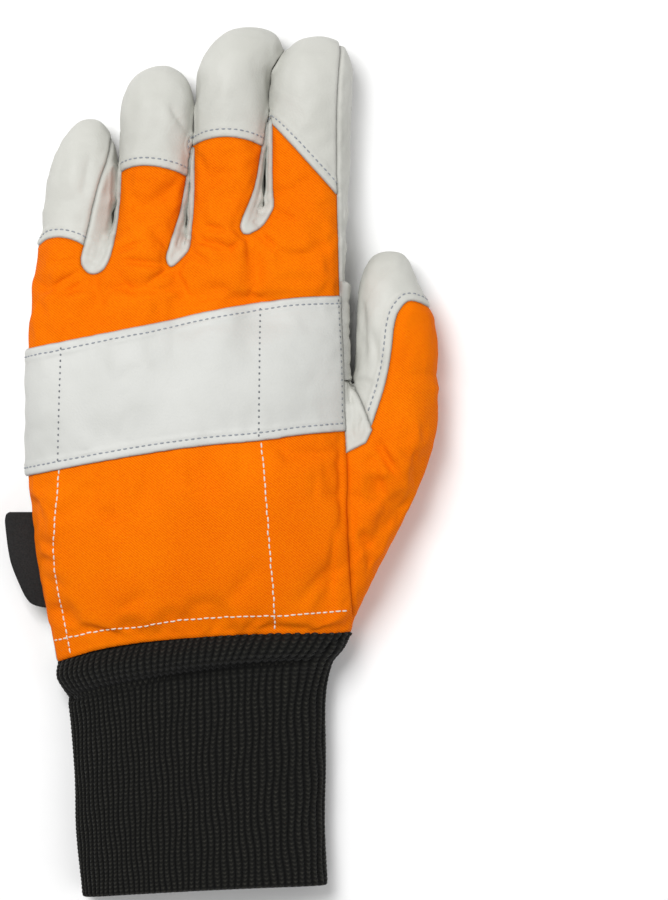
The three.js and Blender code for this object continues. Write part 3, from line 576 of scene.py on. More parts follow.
# %% [markdown]
# ## Cutting the panels
# The skin is cut along every outline, triangle by triangle, and each panel keeps its share. A knife tool would
# do this by hand one seam at a time; a short routine does it the same way for all, so neighbours share their
# cut edge exactly and no seam gapes.

# %% Cut the skin into labelled panels
labels = np.zeros(len(F), int)
panel_names = ["spare"]

def cut(V, F, labels, field, label):
    """split the free triangles along field = 0 and give the positive side a label"""
    field = np.where(np.abs(field) < 0.05, 0.0, field)
    sides = np.sign(field)[F]
    crossed = (labels == 0) & (sides.min(1) < 0) & (sides.max(1) > 0)
    new_points, at_edge, new_faces, new_labels = [], {}, [], []
    def between(a, b):
        key = (min(a, b), max(a, b))
        if key not in at_edge:
            t = field[a] / (field[a] - field[b])
            at_edge[key] = len(V) + len(new_points)
            new_points.append(V[a] + t * (V[b] - V[a]))
        return at_edge[key]
    for triangle in F[crossed]:
        parts = {1: [], -1: []}
        for i in range(3):
            a, b = triangle[i], triangle[(i + 1) % 3]
            for side in (1, -1):
                if field[a] * side >= 0:
                    parts[side].append(a)
            if field[a] * field[b] < 0:
                middle = between(a, b)
                parts[1].append(middle)
                parts[-1].append(middle)
        for side, corners in parts.items():
            for i in range(1, len(corners) - 1):
                new_faces.append([corners[0], corners[i], corners[i + 1]])
                new_labels.append(label if side > 0 else 0)
    inside_now = (labels == 0) & ~crossed & (sides.min(1) >= 0) & (sides.max(1) > 0)
    labels = np.where(inside_now, label, labels)
    V = np.concatenate([V, np.array(new_points).reshape(-1, 3)])
    F = np.concatenate([F[~crossed], np.array(new_faces, int).reshape(-1, 3)])
    labels = np.concatenate([labels[~crossed], np.array(new_labels, int)])
    return V, F, labels

def cut_panel(name, field_of):
    global V, F, labels
    panel_names.append(name)
    V, F, labels = cut(V, F, labels, field_of(closed_up(V)), len(panel_names) - 1)

cut_panel("cast_off", lambda w: -beyond(rounded_line(WRIST_LINE), w, 1))
for name, outline in GUSSETS.items():
    cut_panel(name, lambda w, o=rounded(outline, 1): np.minimum(inside(o, w), above(w)))
for k, name in enumerate(HEMS):
    cut_panel("fingertip_" + name, lambda w, k=k: np.minimum(cap_field(k, V), above(w)))
back = np.concatenate([[[-FAR, FAR]], rounded_line(INDEX_SEAM), [[WRIST_CENTRE + WRIST_HALF + 1, -FAR], [-FAR, -FAR]]])
cut_panel("back_panel", lambda w: np.minimum(inside(back, w), above(w)))
cut_panel("thumb_gusset", lambda w: np.minimum(inside(rounded(THUMB_GUSSET, 1), w), above(w)))
HEEL_CORNER, STRIP = (WRIST_CENTRE + WRIST_HALF - 30, WRIST_Y), 9
outer_thumb = rounded_line([p for p in THUMB_SEAM[3:]])
thumb_under = np.concatenate([outer_thumb, [[FAR, 60], [FAR, -FAR], [HEEL_CORNER[0], -FAR], HEEL_CORNER, [52, 22], [60, 40]]])
cut_panel("thumb_back", lambda w: np.where(above(w) > 0, inside(thumb_textile(), w), inside(thumb_under, w)))
thumb_front = [(53.3, 50), (46, 52.5), (46, 102.3), (FAR, 110), (FAR, -FAR), (HEEL_CORNER[0] - STRIP, -FAR),
               (HEEL_CORNER[0] - STRIP, WRIST_Y - 4), (48, 30)]
cut_panel("thumb_front", lambda w: np.minimum(inside(thumb_front, w), np.maximum(right_of(4, V), 50 - w[:, 1])))
ring_front = [(boundary(1, 93) - 0.5, 97), (-28, 92.5), (-20, 90.5), (-12, 91.5), (boundary(2, 93), 95), (0, 91.5), (8, 90),
              (16, 92), (boundary(3, 100), 100), (boundary(3, 106), 110), (boundary(3, 130), 130), (30.5, 158), (34, FAR), (-30, FAR),
              (boundary(1, 140), 140), (boundary(1, 115), 115)]
cut_panel("middle_ring_front", lambda w: np.minimum(inside(rounded(ring_front, 1), w), under(w)))
cut_panel("palm", lambda w: np.full(len(w), 1.0))

# %% Give stray crumbs to the panel beside them
def crumbs_to_neighbours(V, F, labels, smallest=150):
    edges = np.sort(np.concatenate([F[:, [0, 1]], F[:, [1, 2]], F[:, [2, 0]]]), axis=1)
    face = np.tile(np.arange(len(F)), 3)
    code = edges[:, 0] * len(V) + edges[:, 1]
    order = np.argsort(code, kind="stable")
    code, face = code[order], face[order]
    twin = np.where(code[:-1] == code[1:])[0]
    a, b = face[twin], face[twin + 1]
    group = np.arange(len(F))
    same = labels[a] == labels[b]
    while True:
        low = np.minimum(group[a[same]], group[b[same]])
        after = group.copy()
        np.minimum.at(after, a[same], low)
        np.minimum.at(after, b[same], low)
        after = after[after]
        if (after == group).all():
            break
        group = after
    sizes = np.bincount(group, minlength=len(F))
    labels = labels.copy()
    for crumb in np.where((sizes > 0) & (sizes < smallest))[0]:
        beside = np.concatenate([labels[b[(group[a] == crumb) & (group[b] != crumb)]],
                                 labels[a[(group[b] == crumb) & (group[a] != crumb)]]])
        if len(beside):
            labels[group == crumb] = np.bincount(beside).argmax()
    return labels

for _ in range(2):
    labels = crumbs_to_neighbours(V, F, labels)
V = closed_up(V)
for k, name in enumerate(panel_names):
    print(name, int((labels == k).sum()), "triangles")

# %% [markdown]
# ## From cut cloth to sewn panels
# A hem of folded leather stands a little proud, rounds off at its edge and has a row of stitches pressed into
# it. The textile beside it dives under the leather. Where leather meets leather, both edges turn down into a
# groove. Each of these depends only on how far a point is from its own panel's edge, so that distance is
# measured first and the heights follow from it. The same distance is kept on each piece for the painted shade
# that the materials lay along the edges. The walls are then given their thickness inwards.

# %% Where panels meet
TEXTILE = ("back_panel", "thumb_back")
number = {name: k for k, name in enumerate(panel_names)}
N = normals_of(V, F)
edges = np.sort(np.concatenate([F[:, [0, 1]], F[:, [1, 2]], F[:, [2, 0]]]), axis=1)
owner = np.tile(labels, 3)
code = edges[:, 0] * len(V) + edges[:, 1]
order = np.argsort(code, kind="stable")
code, edges, owner = code[order], edges[order], owner[order]
meet = np.where((code[:-1] == code[1:]) & (owner[:-1] != owner[1:]))[0]
meet_ends, meet_a, meet_b = edges[meet], owner[meet], owner[meet + 1]
print("edges where panels meet:", len(meet))

def distance_to(ends, where):
    """distance from points to a set of short edges"""
    if len(ends) == 0:
        return np.full(len(where), 99.0)
    marks = np.concatenate([V[ends[:, 0]], V[ends[:, 1]], V[ends].mean(1)])
    tree = KDTree(len(marks))
    for i, mark in enumerate(marks):
        tree.insert(mark, i)
    tree.balance()
    return np.array([tree.find(point)[2] for point in where])

def edge_distances(name, where):
    """distances to the panel's hems, to seams with its own kind, and to the cuff"""
    own = number[name]
    other = np.where(meet_a == own, meet_b, meet_a)
    mine = (meet_a == own) | (meet_b == own)
    off = other == number["cast_off"]
    textile = np.isin(other, [number[n] for n in TEXTILE])
    changes = textile != (name in TEXTILE)
    return [distance_to(meet_ends[mine & chosen], where) for chosen in (changes & ~off, ~changes & ~off, off)]

def wall(name, points, triangles, normals, thickness, near):
    """a piece with a wall of the given thickness under its outer surface"""
    used, small = np.unique(triangles, return_inverse=True)
    small, count = small.reshape(-1, 3), len(used)
    ways = np.concatenate([small[:, [0, 1]], small[:, [1, 2]], small[:, [2, 0]]])
    there, back_again = ways[:, 0] * count + ways[:, 1], ways[:, 1] * count + ways[:, 0]
    rim = ways[~np.isin(there, back_again)]
    a, b = rim[:, 0], rim[:, 1]
    top = points[used]
    faces = small.tolist() + (small[:, ::-1] + count).tolist() + np.stack([b, a, a + count, b + count], 1).tolist()
    inner = top - normals[used] * thickness
    inner[:, 2] = np.maximum(inner[:, 2], 0)
    piece = piece_from(name, np.concatenate([top, inner]), faces)
    # the near attribute holds each point's distance to the panel's edges; the materials darken colour with it as
    # painted shade along hems and seams
    mark = piece.data.attributes.new("near", "FLOAT", "POINT")
    mark.data.foreach_set("value", np.tile(np.clip(near[used], 0, 20), 2).astype(np.float32))
    take(piece)
    bpy.ops.object.shade_smooth()
    return piece

def hem_height(d):
    """folded leather: rounded edge, flat hem, and the step where the fold ends"""
    edge = 1 - (1 - np.clip(d / 0.9, 0, 1)) ** 2
    return 0.42 * edge * (1 - 0.75 * ease((d - 3.6) / 1.2)) - 0.25 * np.exp(-((d - 2.7) / 0.5) ** 2) - 0.1 * (1 - edge)

def tuck_height(d):
    """textile that dives under leather and puffs beside it"""
    return -0.3 * (1 - ease(d / 1.2)) + 0.3 * np.exp(-((d - 3.6) / 1.8) ** 2)

def seam_height(d):
    return -0.75 * (1 - np.clip(d / 1.3, 0, 1)) ** 1.6 + 0.12 * np.exp(-((d - 1.8) / 0.8) ** 2)

# %% [markdown]
# ## The panels
# Leather walls are 1.4 mm and the padded back is 2.6 mm. Each panel takes the place of the solid of the same
# name.

# %% Sew the panels
LEATHER_WALL, BACK_WALL = 1.4, 2.6
outer = {}
pieces = {}

def under_band(where):
    line = np.minimum(-beyond(rounded_line(BAND_TOP), where, 1), beyond(rounded_line(BAND_BOTTOM), where, 1))
    return np.where(above(where) > 0, line, -9.0)

def sew(name):
    triangles = F[labels == number[name]]
    used, small = np.unique(triangles, return_inverse=True)
    small = small.reshape(-1, 3)
    where = V[used]
    hem, seam, cuff_edge = edge_distances(name, where)
    if name in TEXTILE:
        height = tuck_height(hem) + seam_height(seam)
        height -= 0.55 * ease(under_band(where) / 1.2) if name == "back_panel" else 0
    else:
        height = hem_height(hem) * (hem < 12) + seam_height(seam)
    height -= 0.45 * (1 - np.clip(cuff_edge / 1.6, 0, 1)) ** 2
    shaped = where + N[used] * height[:, None]
    shaped[:, 2] = np.maximum(shaped[:, 2], 0)
    outer[name] = (shaped, small, hem)
    # distance to the nearest edge, kept for the painted shade along hems and seams
    near = np.minimum(np.minimum(hem, seam), cuff_edge)
    piece = wall(name + "_sewn", shaped, small, N[used], BACK_WALL if name in TEXTILE else LEATHER_WALL, near)
    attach(piece, "root")
    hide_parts(name)
    pieces[name] = piece
    print(name, "triangles", len(piece.data.polygons))

for name in panel_names[2:]:
    sew(name)

# %% [markdown]
# ## Knuckle band
# A strip of leather with folded edges lies over the knuckles and is sewn down along both edges. It is cut from
# the same skin, so it follows every swell of the back, and then laid a leather's thickness above it.

# %% The band
def strip_from(sources, field_of):
    triangles = F[np.isin(labels, [number[name] for name in sources])]
    points, triangles, own = cut(V, triangles, np.zeros(len(triangles), int), field_of(V), 1)
    triangles = triangles[own == 1]
    used, small = np.unique(triangles, return_inverse=True)
    all_normals = np.concatenate([N, np.zeros((len(points) - len(V), 3))])
    own_normals = normals_of(points, triangles)
    normals = np.where(np.arange(len(points))[:, None] < len(V), all_normals, own_normals)[used]
    return points[used], small.reshape(-1, 3), normals

where, triangles, normals = strip_from(["back_panel"], under_band)
across = np.minimum(from_line(rounded_line(BAND_TOP), where), from_line(rounded_line(BAND_BOTTOM), where))
ends = np.minimum(np.abs(above(where)), from_line(rounded_line(INDEX_SEAM), where))
height = 0.75 + hem_height(across) - 0.6 * (1 - ease(ends / 1.6))
band_points = where + normals * height[:, None]
outer["knuckle_band"] = (band_points, triangles, across)
# the distance to the band's hems and ends drives painted shade along its edges
band = wall("knuckle_band_sewn", band_points, triangles, normals, 1.1, np.minimum(across, ends))
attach(band, "root")
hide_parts("knuckle_band")
pieces["knuckle_band"] = band

# %% [markdown]
# ## Quilted patch
# The patch across the palm is wadded and sewn through in rows. Its end climbs the side of the palm next to the
# thumb, where the photograph shows it edge-on. Each row is a groove with rounded shoulders.

# %% The patch
PATCH_LOW, PATCH_HIGH = 52.6, 88.3
def patch_field(where):
    x, y = where[:, 0], where[:, 1]
    rise = 2 * np.clip((THUMB_SIDE - x) / 100, 0, 1)
    low, high = y - PATCH_LOW - rise - 1.6 * ease((x - 49.5) / 1.5), PATCH_HIGH + rise - y
    left_edge = boundary(0, KNUCKLE_Y) - 3 + 6
    climb = np.minimum(22.5 - where[:, 2], beyond(rounded_line(INDEX_SEAM), where, 0) - 0.1)
    top = np.maximum(side_seam(y) - where[:, 2] - 1, climb)
    return np.minimum.reduce([low, high, top, x - left_edge])

where, triangles, normals = strip_from(["palm"], patch_field)
edge = patch_field(where)
rise = 2 * np.clip((THUMB_SIDE - where[:, 0]) / 100, 0, 1)
share = (where[:, 1] - PATCH_LOW - rise) / (PATCH_HIGH - PATCH_LOW)
groove = sum(np.exp(-((share - at) * (PATCH_HIGH - PATCH_LOW) / 1.1) ** 2) for at in (0.09, 0.2, 0.47, 0.57, 0.8))
height = 0.6 + 1.9 * (1 - (1 - np.clip(edge / 1.6, 0, 1)) ** 2) - 1.1 * groove * np.clip(edge / 2, 0, 1)
height *= mix(1, 0.75, ease((where[:, 0] - 50) / 1.2))
patch_points = where + normals * height[:, None]
patch_points[:, 2] = np.maximum(patch_points[:, 2], 0)
# the patch's edge field drives painted shade towards its edges
patch = wall("palm_patch_sewn", patch_points, triangles, normals, 1.4, edge)
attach(patch, "root")
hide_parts("palm_patch")
pieces["palm_patch"] = patch
print("band and patch:", len(band.data.polygons), len(patch.data.polygons))

# %% [markdown]
# ## Knitted cuff
# The cuff is a tube of rib knit. A knitting pattern could be built stitch by stitch, but at this size the ribs
# are what shows, so the tube carries real ribs as ridges, closer on the outer side and stretched apart towards
# the thumb, and its material carries the small V stitches and painted shade in the grooves between the ribs.
# It is rolled over the seam, pinched in a crease below the roll, with painted shade in that crease, and falls
# with slight waves.

# %% Sizes along the cuff
CUFF_LENGTH, CUFF_WALL = 83, 2.4
cuff_width, cuff_top, cuff_slant, cuff_shift, cuff_arch = table([
    (0, 0, 1.19, 1, 0, 1), (0.06, 0.175, 1.22, 1, -0.45, 1), (0.12, 0.55, 1.12, 1, -0.7, 0.8),
    (0.17, 0.675, 0.98, 1, -0.7, 0.6), (0.32, 0.84, 0.92, 0.9, -0.7, 0.2), (0.6, 0.975, 0.9, 0.7, -0.57, 0),
    (0.82, 1, 0.95, 0.3, -0.34, 0), (1, 1, 1, 0, -0.12, 0.2)])

def cuff_ring(v, inset, sides):
    at = max(v, 0) / CUFF_LENGTH
    half = mix(100, 84, cuff_width(at)) / 2 - inset
    middle = WRIST_CENTRE * (1 + cuff_shift(at))
    slant = mix(4, 9.5, cuff_slant(at)) / 2
    y = WRIST_Y - 0.3 - v
    return section((middle - half, y - slant), (middle + half, y + slant), inset, 20 * cuff_top(at) - inset, 2.6,
                   sides, 3.7 * cuff_arch(at))

# %% Share the ribs out round the tube
FINE = 4000
reference = cuff_ring(45, 0, FINE)
step = np.linalg.norm(np.roll(reference, -1, 0) - reference, axis=1)
across = (reference[:, 0] - reference[:, 0].min()) / np.ptp(reference[:, 0])
phase = np.concatenate([[0], np.cumsum(step / mix(1.55, 2.75, across))])
RIBS = int(round(phase[-1]))
phase *= RIBS / phase[-1]
PER_RIB = 5
SIDES = RIBS * PER_RIB
turn = np.interp(np.arange(SIDES) / PER_RIB, phase, np.arange(FINE + 1))
print("ribs:", RIBS, "points round:", SIDES)

def ribbed_ring(v, inset):
    fine = cuff_ring(v, inset, FINE)
    fine = np.concatenate([fine, fine[:1]])
    return np.stack([np.interp(turn, np.arange(FINE + 1), fine[:, k]) for k in range(3)], 1)

# %% The cuff's walls
STITCH_ROW, LEAN = 1.42, 1.0
outer_rows = np.concatenate([[-4.0, -2.0, -0.8], np.arange(0, CUFF_LENGTH - 1.5, STITCH_ROW / 3), CUFF_LENGTH - 1.2 + 1.2 * np.sin(np.linspace(0.1, 1.57, 6))])
inner_rows = np.linspace(CUFF_LENGTH, -4.0, 14)
rib_at = np.arange(SIDES) / PER_RIB
rings, uv_rows, rib_rows, crease_shade_rows = [], [], [], []
for v in outer_rows:
    end = max(0.0, v - (CUFF_LENGTH - 1.2)) / 1.2
    tucked = 1.9 * ease(-v / 1.6)
    ring = ribbed_ring(v, tucked + 1.1 * (1 - math.sqrt(max(0.0, 1 - end**2))))
    after, before = np.roll(ring, -1, 0), np.roll(ring, 1, 0)
    out = np.cross(after - before, [0, 1.0, 0])
    out /= np.linalg.norm(out, axis=1)[:, None]
    middle = ring.mean(0)
    out *= np.sign(((ring - middle) * out).sum(1))[:, None]
    round_share = 2 * math.pi * rib_at / RIBS
    wave = 0.16 * np.sin(v / 7 + 4 * round_share) + 0.1 * np.sin(v / 3.1 - 11 * round_share)
    ridge = np.abs(np.sin(math.pi * (rib_at + wave))) ** 0.8
    crease_at = 12.4 - 0.038 * (ring[:, 0] + 46) - 7.6 * ease((ring[:, 0] - 38) / 13)
    crease = np.exp(-((v - crease_at) / 1.5) ** 2) * ease((v + 1) / 2)
    shallow = mix(1, 0.35, ease((ring[:, 0] - 28) / 16))
    roll = (1.5 * np.sin(math.pi * np.clip(v / crease_at, 0, 1)) - 2.2 * crease) * shallow
    upper_side = ease(out[:, 2] / 0.7)
    roll *= mix(0.3, 1, upper_side)
    lean = np.abs((rib_at + wave) % 1 - 0.5)
    knots = 0.11 * np.sin(2 * math.pi * (v / STITCH_ROW + lean * LEAN)) * ease(v / 1.0)
    swell = 0.35 * np.sin(v / 11 + ring[:, 0] / 13) + 0.25 * np.sin(v / 6.5 - ring[:, 0] / 9)
    height = (ridge - 0.8) * 1.0 * (1 - 0.8 * ease(-v / 1.6)) + knots + roll * ease(ring[:, 2] / 6) + swell * ease(ring[:, 2] / 6) * ease(v / 20)
    ring = ring + out * height[:, None]
    ring[:, 2] = np.maximum(ring[:, 2], 0)
    rings.append(ring)
    uv_rows.append(v)
    rib_rows.append(rib_at + wave)
    # how much painted shade falls in the crease below the roll, kept for the knit material
    crease_shade_rows.append(crease * upper_side * shallow)
for v in inner_rows:
    rings.append(ribbed_ring(v, CUFF_WALL))
    uv_rows.append(v)
    rib_rows.append(rib_at)
    crease_shade_rows.append(0 * rib_at)
cuff_points = np.concatenate(rings)
i = np.arange(SIDES)
j = (i + 1) % SIDES
cuff_faces = []
for r in range(len(rings)):
    a, b = r * SIDES, (r + 1) % len(rings) * SIDES
    cuff_faces.append(np.stack([a + i, a + j, b + j, b + i], 1))
cuff = piece_from("cuff_knit", cuff_points, np.concatenate(cuff_faces))
knit_uv = cuff.data.uv_layers.new(name="knit")
corners, heights = [], []
for r in range(len(rings)):
    here, below = [np.append(rib_rows[k], rib_rows[k][0] + RIBS) for k in (r, (r + 1) % len(rings))]
    corners.append(np.stack([here[:-1], here[1:], below[1:], below[:-1]], 1).ravel())
    heights.append(np.tile([uv_rows[r], uv_rows[r], uv_rows[(r + 1) % len(rings)], uv_rows[(r + 1) % len(rings)]], SIDES))
corners, heights = np.concatenate(corners), np.concatenate(heights)
# the crease attribute carries the painted shade of the crease into the knit material
dark = cuff.data.attributes.new("crease", "FLOAT", "POINT")
dark.data.foreach_set("value", np.concatenate(crease_shade_rows).astype(np.float32))
knit_uv.data.foreach_set("uv", np.stack([corners, heights], 1).astype(np.float32).ravel())
take(cuff)
bpy.ops.object.mode_set(mode="EDIT")
bpy.ops.mesh.select_all(action="SELECT")
bpy.ops.mesh.normals_make_consistent(inside=False)
bpy.ops.object.mode_set(mode="OBJECT")
bpy.ops.object.shade_smooth()
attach(cuff, "root")
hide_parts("cuff")
pieces["cuff"] = cuff
print("cuff quads:", len(cuff.data.polygons))

# %% [markdown]
# ## Side tab
# A short folded ribbon is caught in the outer side seam, with its fold standing out. It is drawn as a thin
# section carried along the seam.

# %% The tab
TAB_Z = 11.5
tab_out, = table([(0, 0.1), (0.01, 0.33), (0.06, 0.64), (0.24, 0.84), (0.53, 0.985), (0.88, 1), (0.98, 0.92), (1, 0.8)])
def tab_ring(at, shrink=1.0):
    y = WRIST_Y + 13.2 + 32.6 * at
    share = (y - WRIST_Y) / HAND_LENGTH
    seam_x = mix(WRIST_CENTRE - WRIST_HALF, boundary(0, KNUCKLE_Y), share) - 4.6 * hand_bulge(share)
    curl = 0.5 * math.sin(at * 5)
    return section((seam_x - 9.8 * tab_out(at), y), (seam_x + 2, y), TAB_Z - 0.8 * shrink + curl, TAB_Z + 0.8 * shrink + curl, 3.4, 32)

rings = [tab_ring(0, 0.4)] + [tab_ring(at) for at in np.linspace(0.005, 0.995, 60)] + [tab_ring(1, 0.4)]
tab_points, tab_faces = closed_form(rings)
tab = piece_from("side_tab_ribbon", tab_points, tab_faces)
take(tab)
bpy.ops.object.mode_set(mode="EDIT")
bpy.ops.mesh.select_all(action="SELECT")
bpy.ops.mesh.normals_make_consistent(inside=False)
bpy.ops.object.mode_set(mode="OBJECT")
bpy.ops.object.shade_smooth()
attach(tab, "root")
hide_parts("side_tab")
pieces["side_tab"] = tab

# %% [markdown]
# ## Stitches
# Machine stitches are short raised dashes that dip into the leather at both ends. The hem stitches run at a
# fixed distance inside each hem, so they follow a line of equal distance on the panel itself. The white
# thread on the orange back is sewn to a drawn line that is dropped onto the finished surface.

# %% Stitch shapes
def stitches(name, places, along, up, length, radius, sink):
    """one small capsule for each place, all in one piece"""
    rows = np.array([-0.97, -0.75, -0.35, 0.0, 0.35, 0.75, 0.97])
    round_ = np.arange(6) / 6 * 2 * math.pi
    girth = np.sqrt(1 - rows**4)
    t = np.repeat(rows, 6) * length / 2
    s = (girth[:, None] * np.cos(round_)).ravel() * radius
    h = (girth[:, None] * np.sin(round_)).ravel() * radius * 0.8 - sink * np.repeat(rows**2, 6)
    side = np.cross(up, along)
    side /= np.linalg.norm(side, axis=1)[:, None]
    shape = (places[:, None] + t[None, :, None] * along[:, None] + s[None, :, None] * side[:, None]
             + h[None, :, None] * up[:, None])
    shape[..., 2] = np.maximum(shape[..., 2], 0)
    faces = []
    for r in range(len(rows) - 1):
        for k in range(6):
            a, b = r * 6, (r + 1) * 6
            faces.append([a + k, a + (k + 1) % 6, b + (k + 1) % 6, b + k])
    faces = np.array(faces)
    caps = np.array([[0, 3, 2, 1], [0, 5, 4, 3]])
    caps = np.concatenate([caps, caps[:, ::-1] + (len(rows) - 1) * 6])
    faces = np.concatenate([faces, caps])
    count = len(rows) * 6
    all_faces = (faces[None] + np.arange(len(places))[:, None, None] * count).reshape(-1, 4)
    piece = piece_from(name, shape.reshape(-1, 3), all_faces)
    take(piece)
    bpy.ops.object.mode_set(mode="EDIT")
    bpy.ops.mesh.select_all(action="SELECT")
    bpy.ops.mesh.normals_make_consistent(inside=False)
    bpy.ops.object.mode_set(mode="OBJECT")
    bpy.ops.object.shade_smooth()
    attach(piece, "root")
    return piece

def level_lines(points, triangles, field, level):
    """chains of points where a field on a panel crosses a level"""
    value = field - level
    value = np.where(value == 0, 1e-6, value)
    sides = value[triangles] > 0
    links, spots = {}, {}
    for triangle in triangles[(sides.any(1)) & (~sides.all(1))]:
        found = []
        for k in range(3):
            a, b = sorted((int(triangle[k]), int(triangle[(k + 1) % 3])))
            if (value[a] > 0) != (value[b] > 0):
                t = value[a] / (value[a] - value[b])
                spots[(a, b)] = points[a] + t * (points[b] - points[a])
                found.append((a, b))
        if len(found) == 2:
            links.setdefault(found[0], []).append(found[1])
            links.setdefault(found[1], []).append(found[0])
    chains, seen = [], set()
    starts = [k for k, v in links.items() if len(v) == 1] + list(links)
    for start in starts:
        if start in seen:
            continue
        chain, now = [start], start
        seen.add(start)
        while True:
            ahead = [k for k in links[now] if k not in seen]
            if not ahead:
                break
            now = ahead[0]
            seen.add(now)
            chain.append(now)
        if len(chain) > 8:
            chains.append(np.array([spots[k] for k in chain]))
    return chains

def even_steps(chain, pitch):
    """places at an even pitch along a smoothed chain, with their directions"""
    for _ in range(3):
        chain[1:-1] = (chain[:-2] + 2 * chain[1:-1] + chain[2:]) / 4
    run = np.concatenate([[0], np.cumsum(np.linalg.norm(np.diff(chain, axis=0), axis=1))])
    marks = np.arange(pitch / 2, run[-1] - pitch / 3, pitch)
    at = lambda s: np.stack([np.interp(s, run, chain[:, k]) for k in range(3)], 1)
    along = at(marks + 0.5) - at(marks - 0.5)
    return at(marks), along / np.maximum(np.linalg.norm(along, axis=1), 1e-9)[:, None]

# %% Stitches along the leather hems
rng = np.random.default_rng(5)
places, alongs, ups = [], [], []
for name in list(HEMS) + ["knuckle_band", "thumb_front"]:
    key = "fingertip_" + name if name in HEMS else name
    points, triangles, hem = outer[key]
    tree = BVHTree.FromPolygons([tuple(p) for p in points], triangles.tolist())
    for chain in level_lines(points, triangles, hem, 2.7):
        spots, along = even_steps(chain, 2.1)
        for spot, way in zip(spots, along):
            hit, normal, _, _ = tree.find_nearest(spot)
            places.append(np.array(hit) + 0.12 * np.array(normal))
            alongs.append(way)
            ups.append(normal)
places, alongs, ups = np.array(places), np.array(alongs), np.array(ups)
print("hem stitches:", len(places))
hem_stitches = stitches("hem_stitches", places, alongs, ups, 1.6, 0.24, 0.32)

# %% White thread and the two rows across the band
def dropped(line, tree):
    """a plan line dropped onto a surface from above"""
    line = rounded_line(line)
    run = np.concatenate([[0], np.cumsum(np.hypot(*np.diff(line, axis=0).T))])
    marks = np.arange(0, run[-1], 0.5)
    chain = []
    for x, y in zip(np.interp(marks, run, line[:, 0]), np.interp(marks, run, line[:, 1])):
        hit, _, _, _ = tree.ray_cast(Vector((x, y, 100)), Vector((0, 0, -1)))
        if hit is not None:
            chain.append(np.array(hit))
    return np.array(chain)

def run_of_stitches(lines, source, pitch, wobble=0.0):
    points, triangles, _ = outer[source]
    tree = BVHTree.FromPolygons([tuple(p) for p in points], triangles.tolist())
    places, alongs, ups = [], [], []
    for line in lines:
        chain = dropped(line, tree)
        spots, along = even_steps(chain, pitch)
        for spot, way in zip(spots, along):
            side = np.array([-way[1], way[0], 0]) * rng.normal(0, wobble)
            hit, normal, _, _ = tree.find_nearest(spot + side)
            places.append(np.array(hit) + 0.1 * np.array(normal))
            alongs.append(way)
            ups.append(normal)
    return np.array(places), np.array(alongs), np.array(ups)

THREAD = [
    [(-45.5, 24.8), (-47, 8.4), (-47.8, -1.4), (-47.2, -11.6), (-44.1, -28.6), (-41.7, -41.2)],
    [(22.5, 33.6), (23.9, 20.7), (24.9, 3.7), (26.3, -13.3), (27, -24.2), (26.8, -33)],
    [(-49.9, -34.4), (-48.5, -34.1), (-39.3, -31.7), (-27.4, -29.3), (-20, -29.3), (-9.4, -26.9), (3.2, -25.9), (14.4, -25.2), (27, -25.2), (40.6, -24.2), (52.5, -23.4), (55.2, -23.2)],
]
back_thread = stitches("back_thread", *run_of_stitches(THREAD, "back_panel", 2.3, 0.12), 2.0, 0.28, 0.3)
BAND_ROWS = [[(-45.1, 66.2), (-46.1, 26.1)], [(22.1, 79.5), (21.7, 35)], [(48.4, 82.6), (49.2, 66.6), (49.6, 57.4), (49.9, 38.4)]]
band_rows = stitches("band_rows", *run_of_stitches(BAND_ROWS, "knuckle_band", 2.1), 0.95, 0.3, 0.3)

# %% [markdown]
# ## Materials
# All colour and weave is procedural. The orange textile is a fine diagonal twill, the leather a pale split with
# a soft grain, the knit near-black yarn with brown and gray flecks. Textile and leather are darkened along their
# hems and seams as painted shade, and the knit in its rib grooves and its crease.

# %% A small kit for shader graphs
def shader(name):
    material = bpy.data.materials.new(name)
    material.use_nodes = True
    tree = material.node_tree
    tree.nodes.clear()
    def add(kind, values=None, **settings):
        made = tree.nodes.new("ShaderNode" + kind)
        for key, value in settings.items():
            setattr(made, key, value)
        for key, value in (values or {}).items():
            if isinstance(value, bpy.types.NodeSocket):
                tree.links.new(value, made.inputs[key])
            else:
                made.inputs[key].default_value = value
        return made
    def finish(**values):
        main = add("BsdfPrincipled", values)
        output = add("OutputMaterial")
        tree.links.new(main.outputs["BSDF"], output.inputs["Surface"])
        return material
    return add, finish

def ramp(add, factor, stops):
    made = add("ValToRGB", {"Fac": factor})
    band = made.color_ramp
    band.elements[0].position, band.elements[0].color = stops[0][0], (*stops[0][1], 1)
    band.elements[1].position, band.elements[1].color = stops[-1][0], (*stops[-1][1], 1)
    for place, colour in stops[1:-1]:
        band.elements.new(place).color = (*colour, 1)
    return made.outputs["Color"]

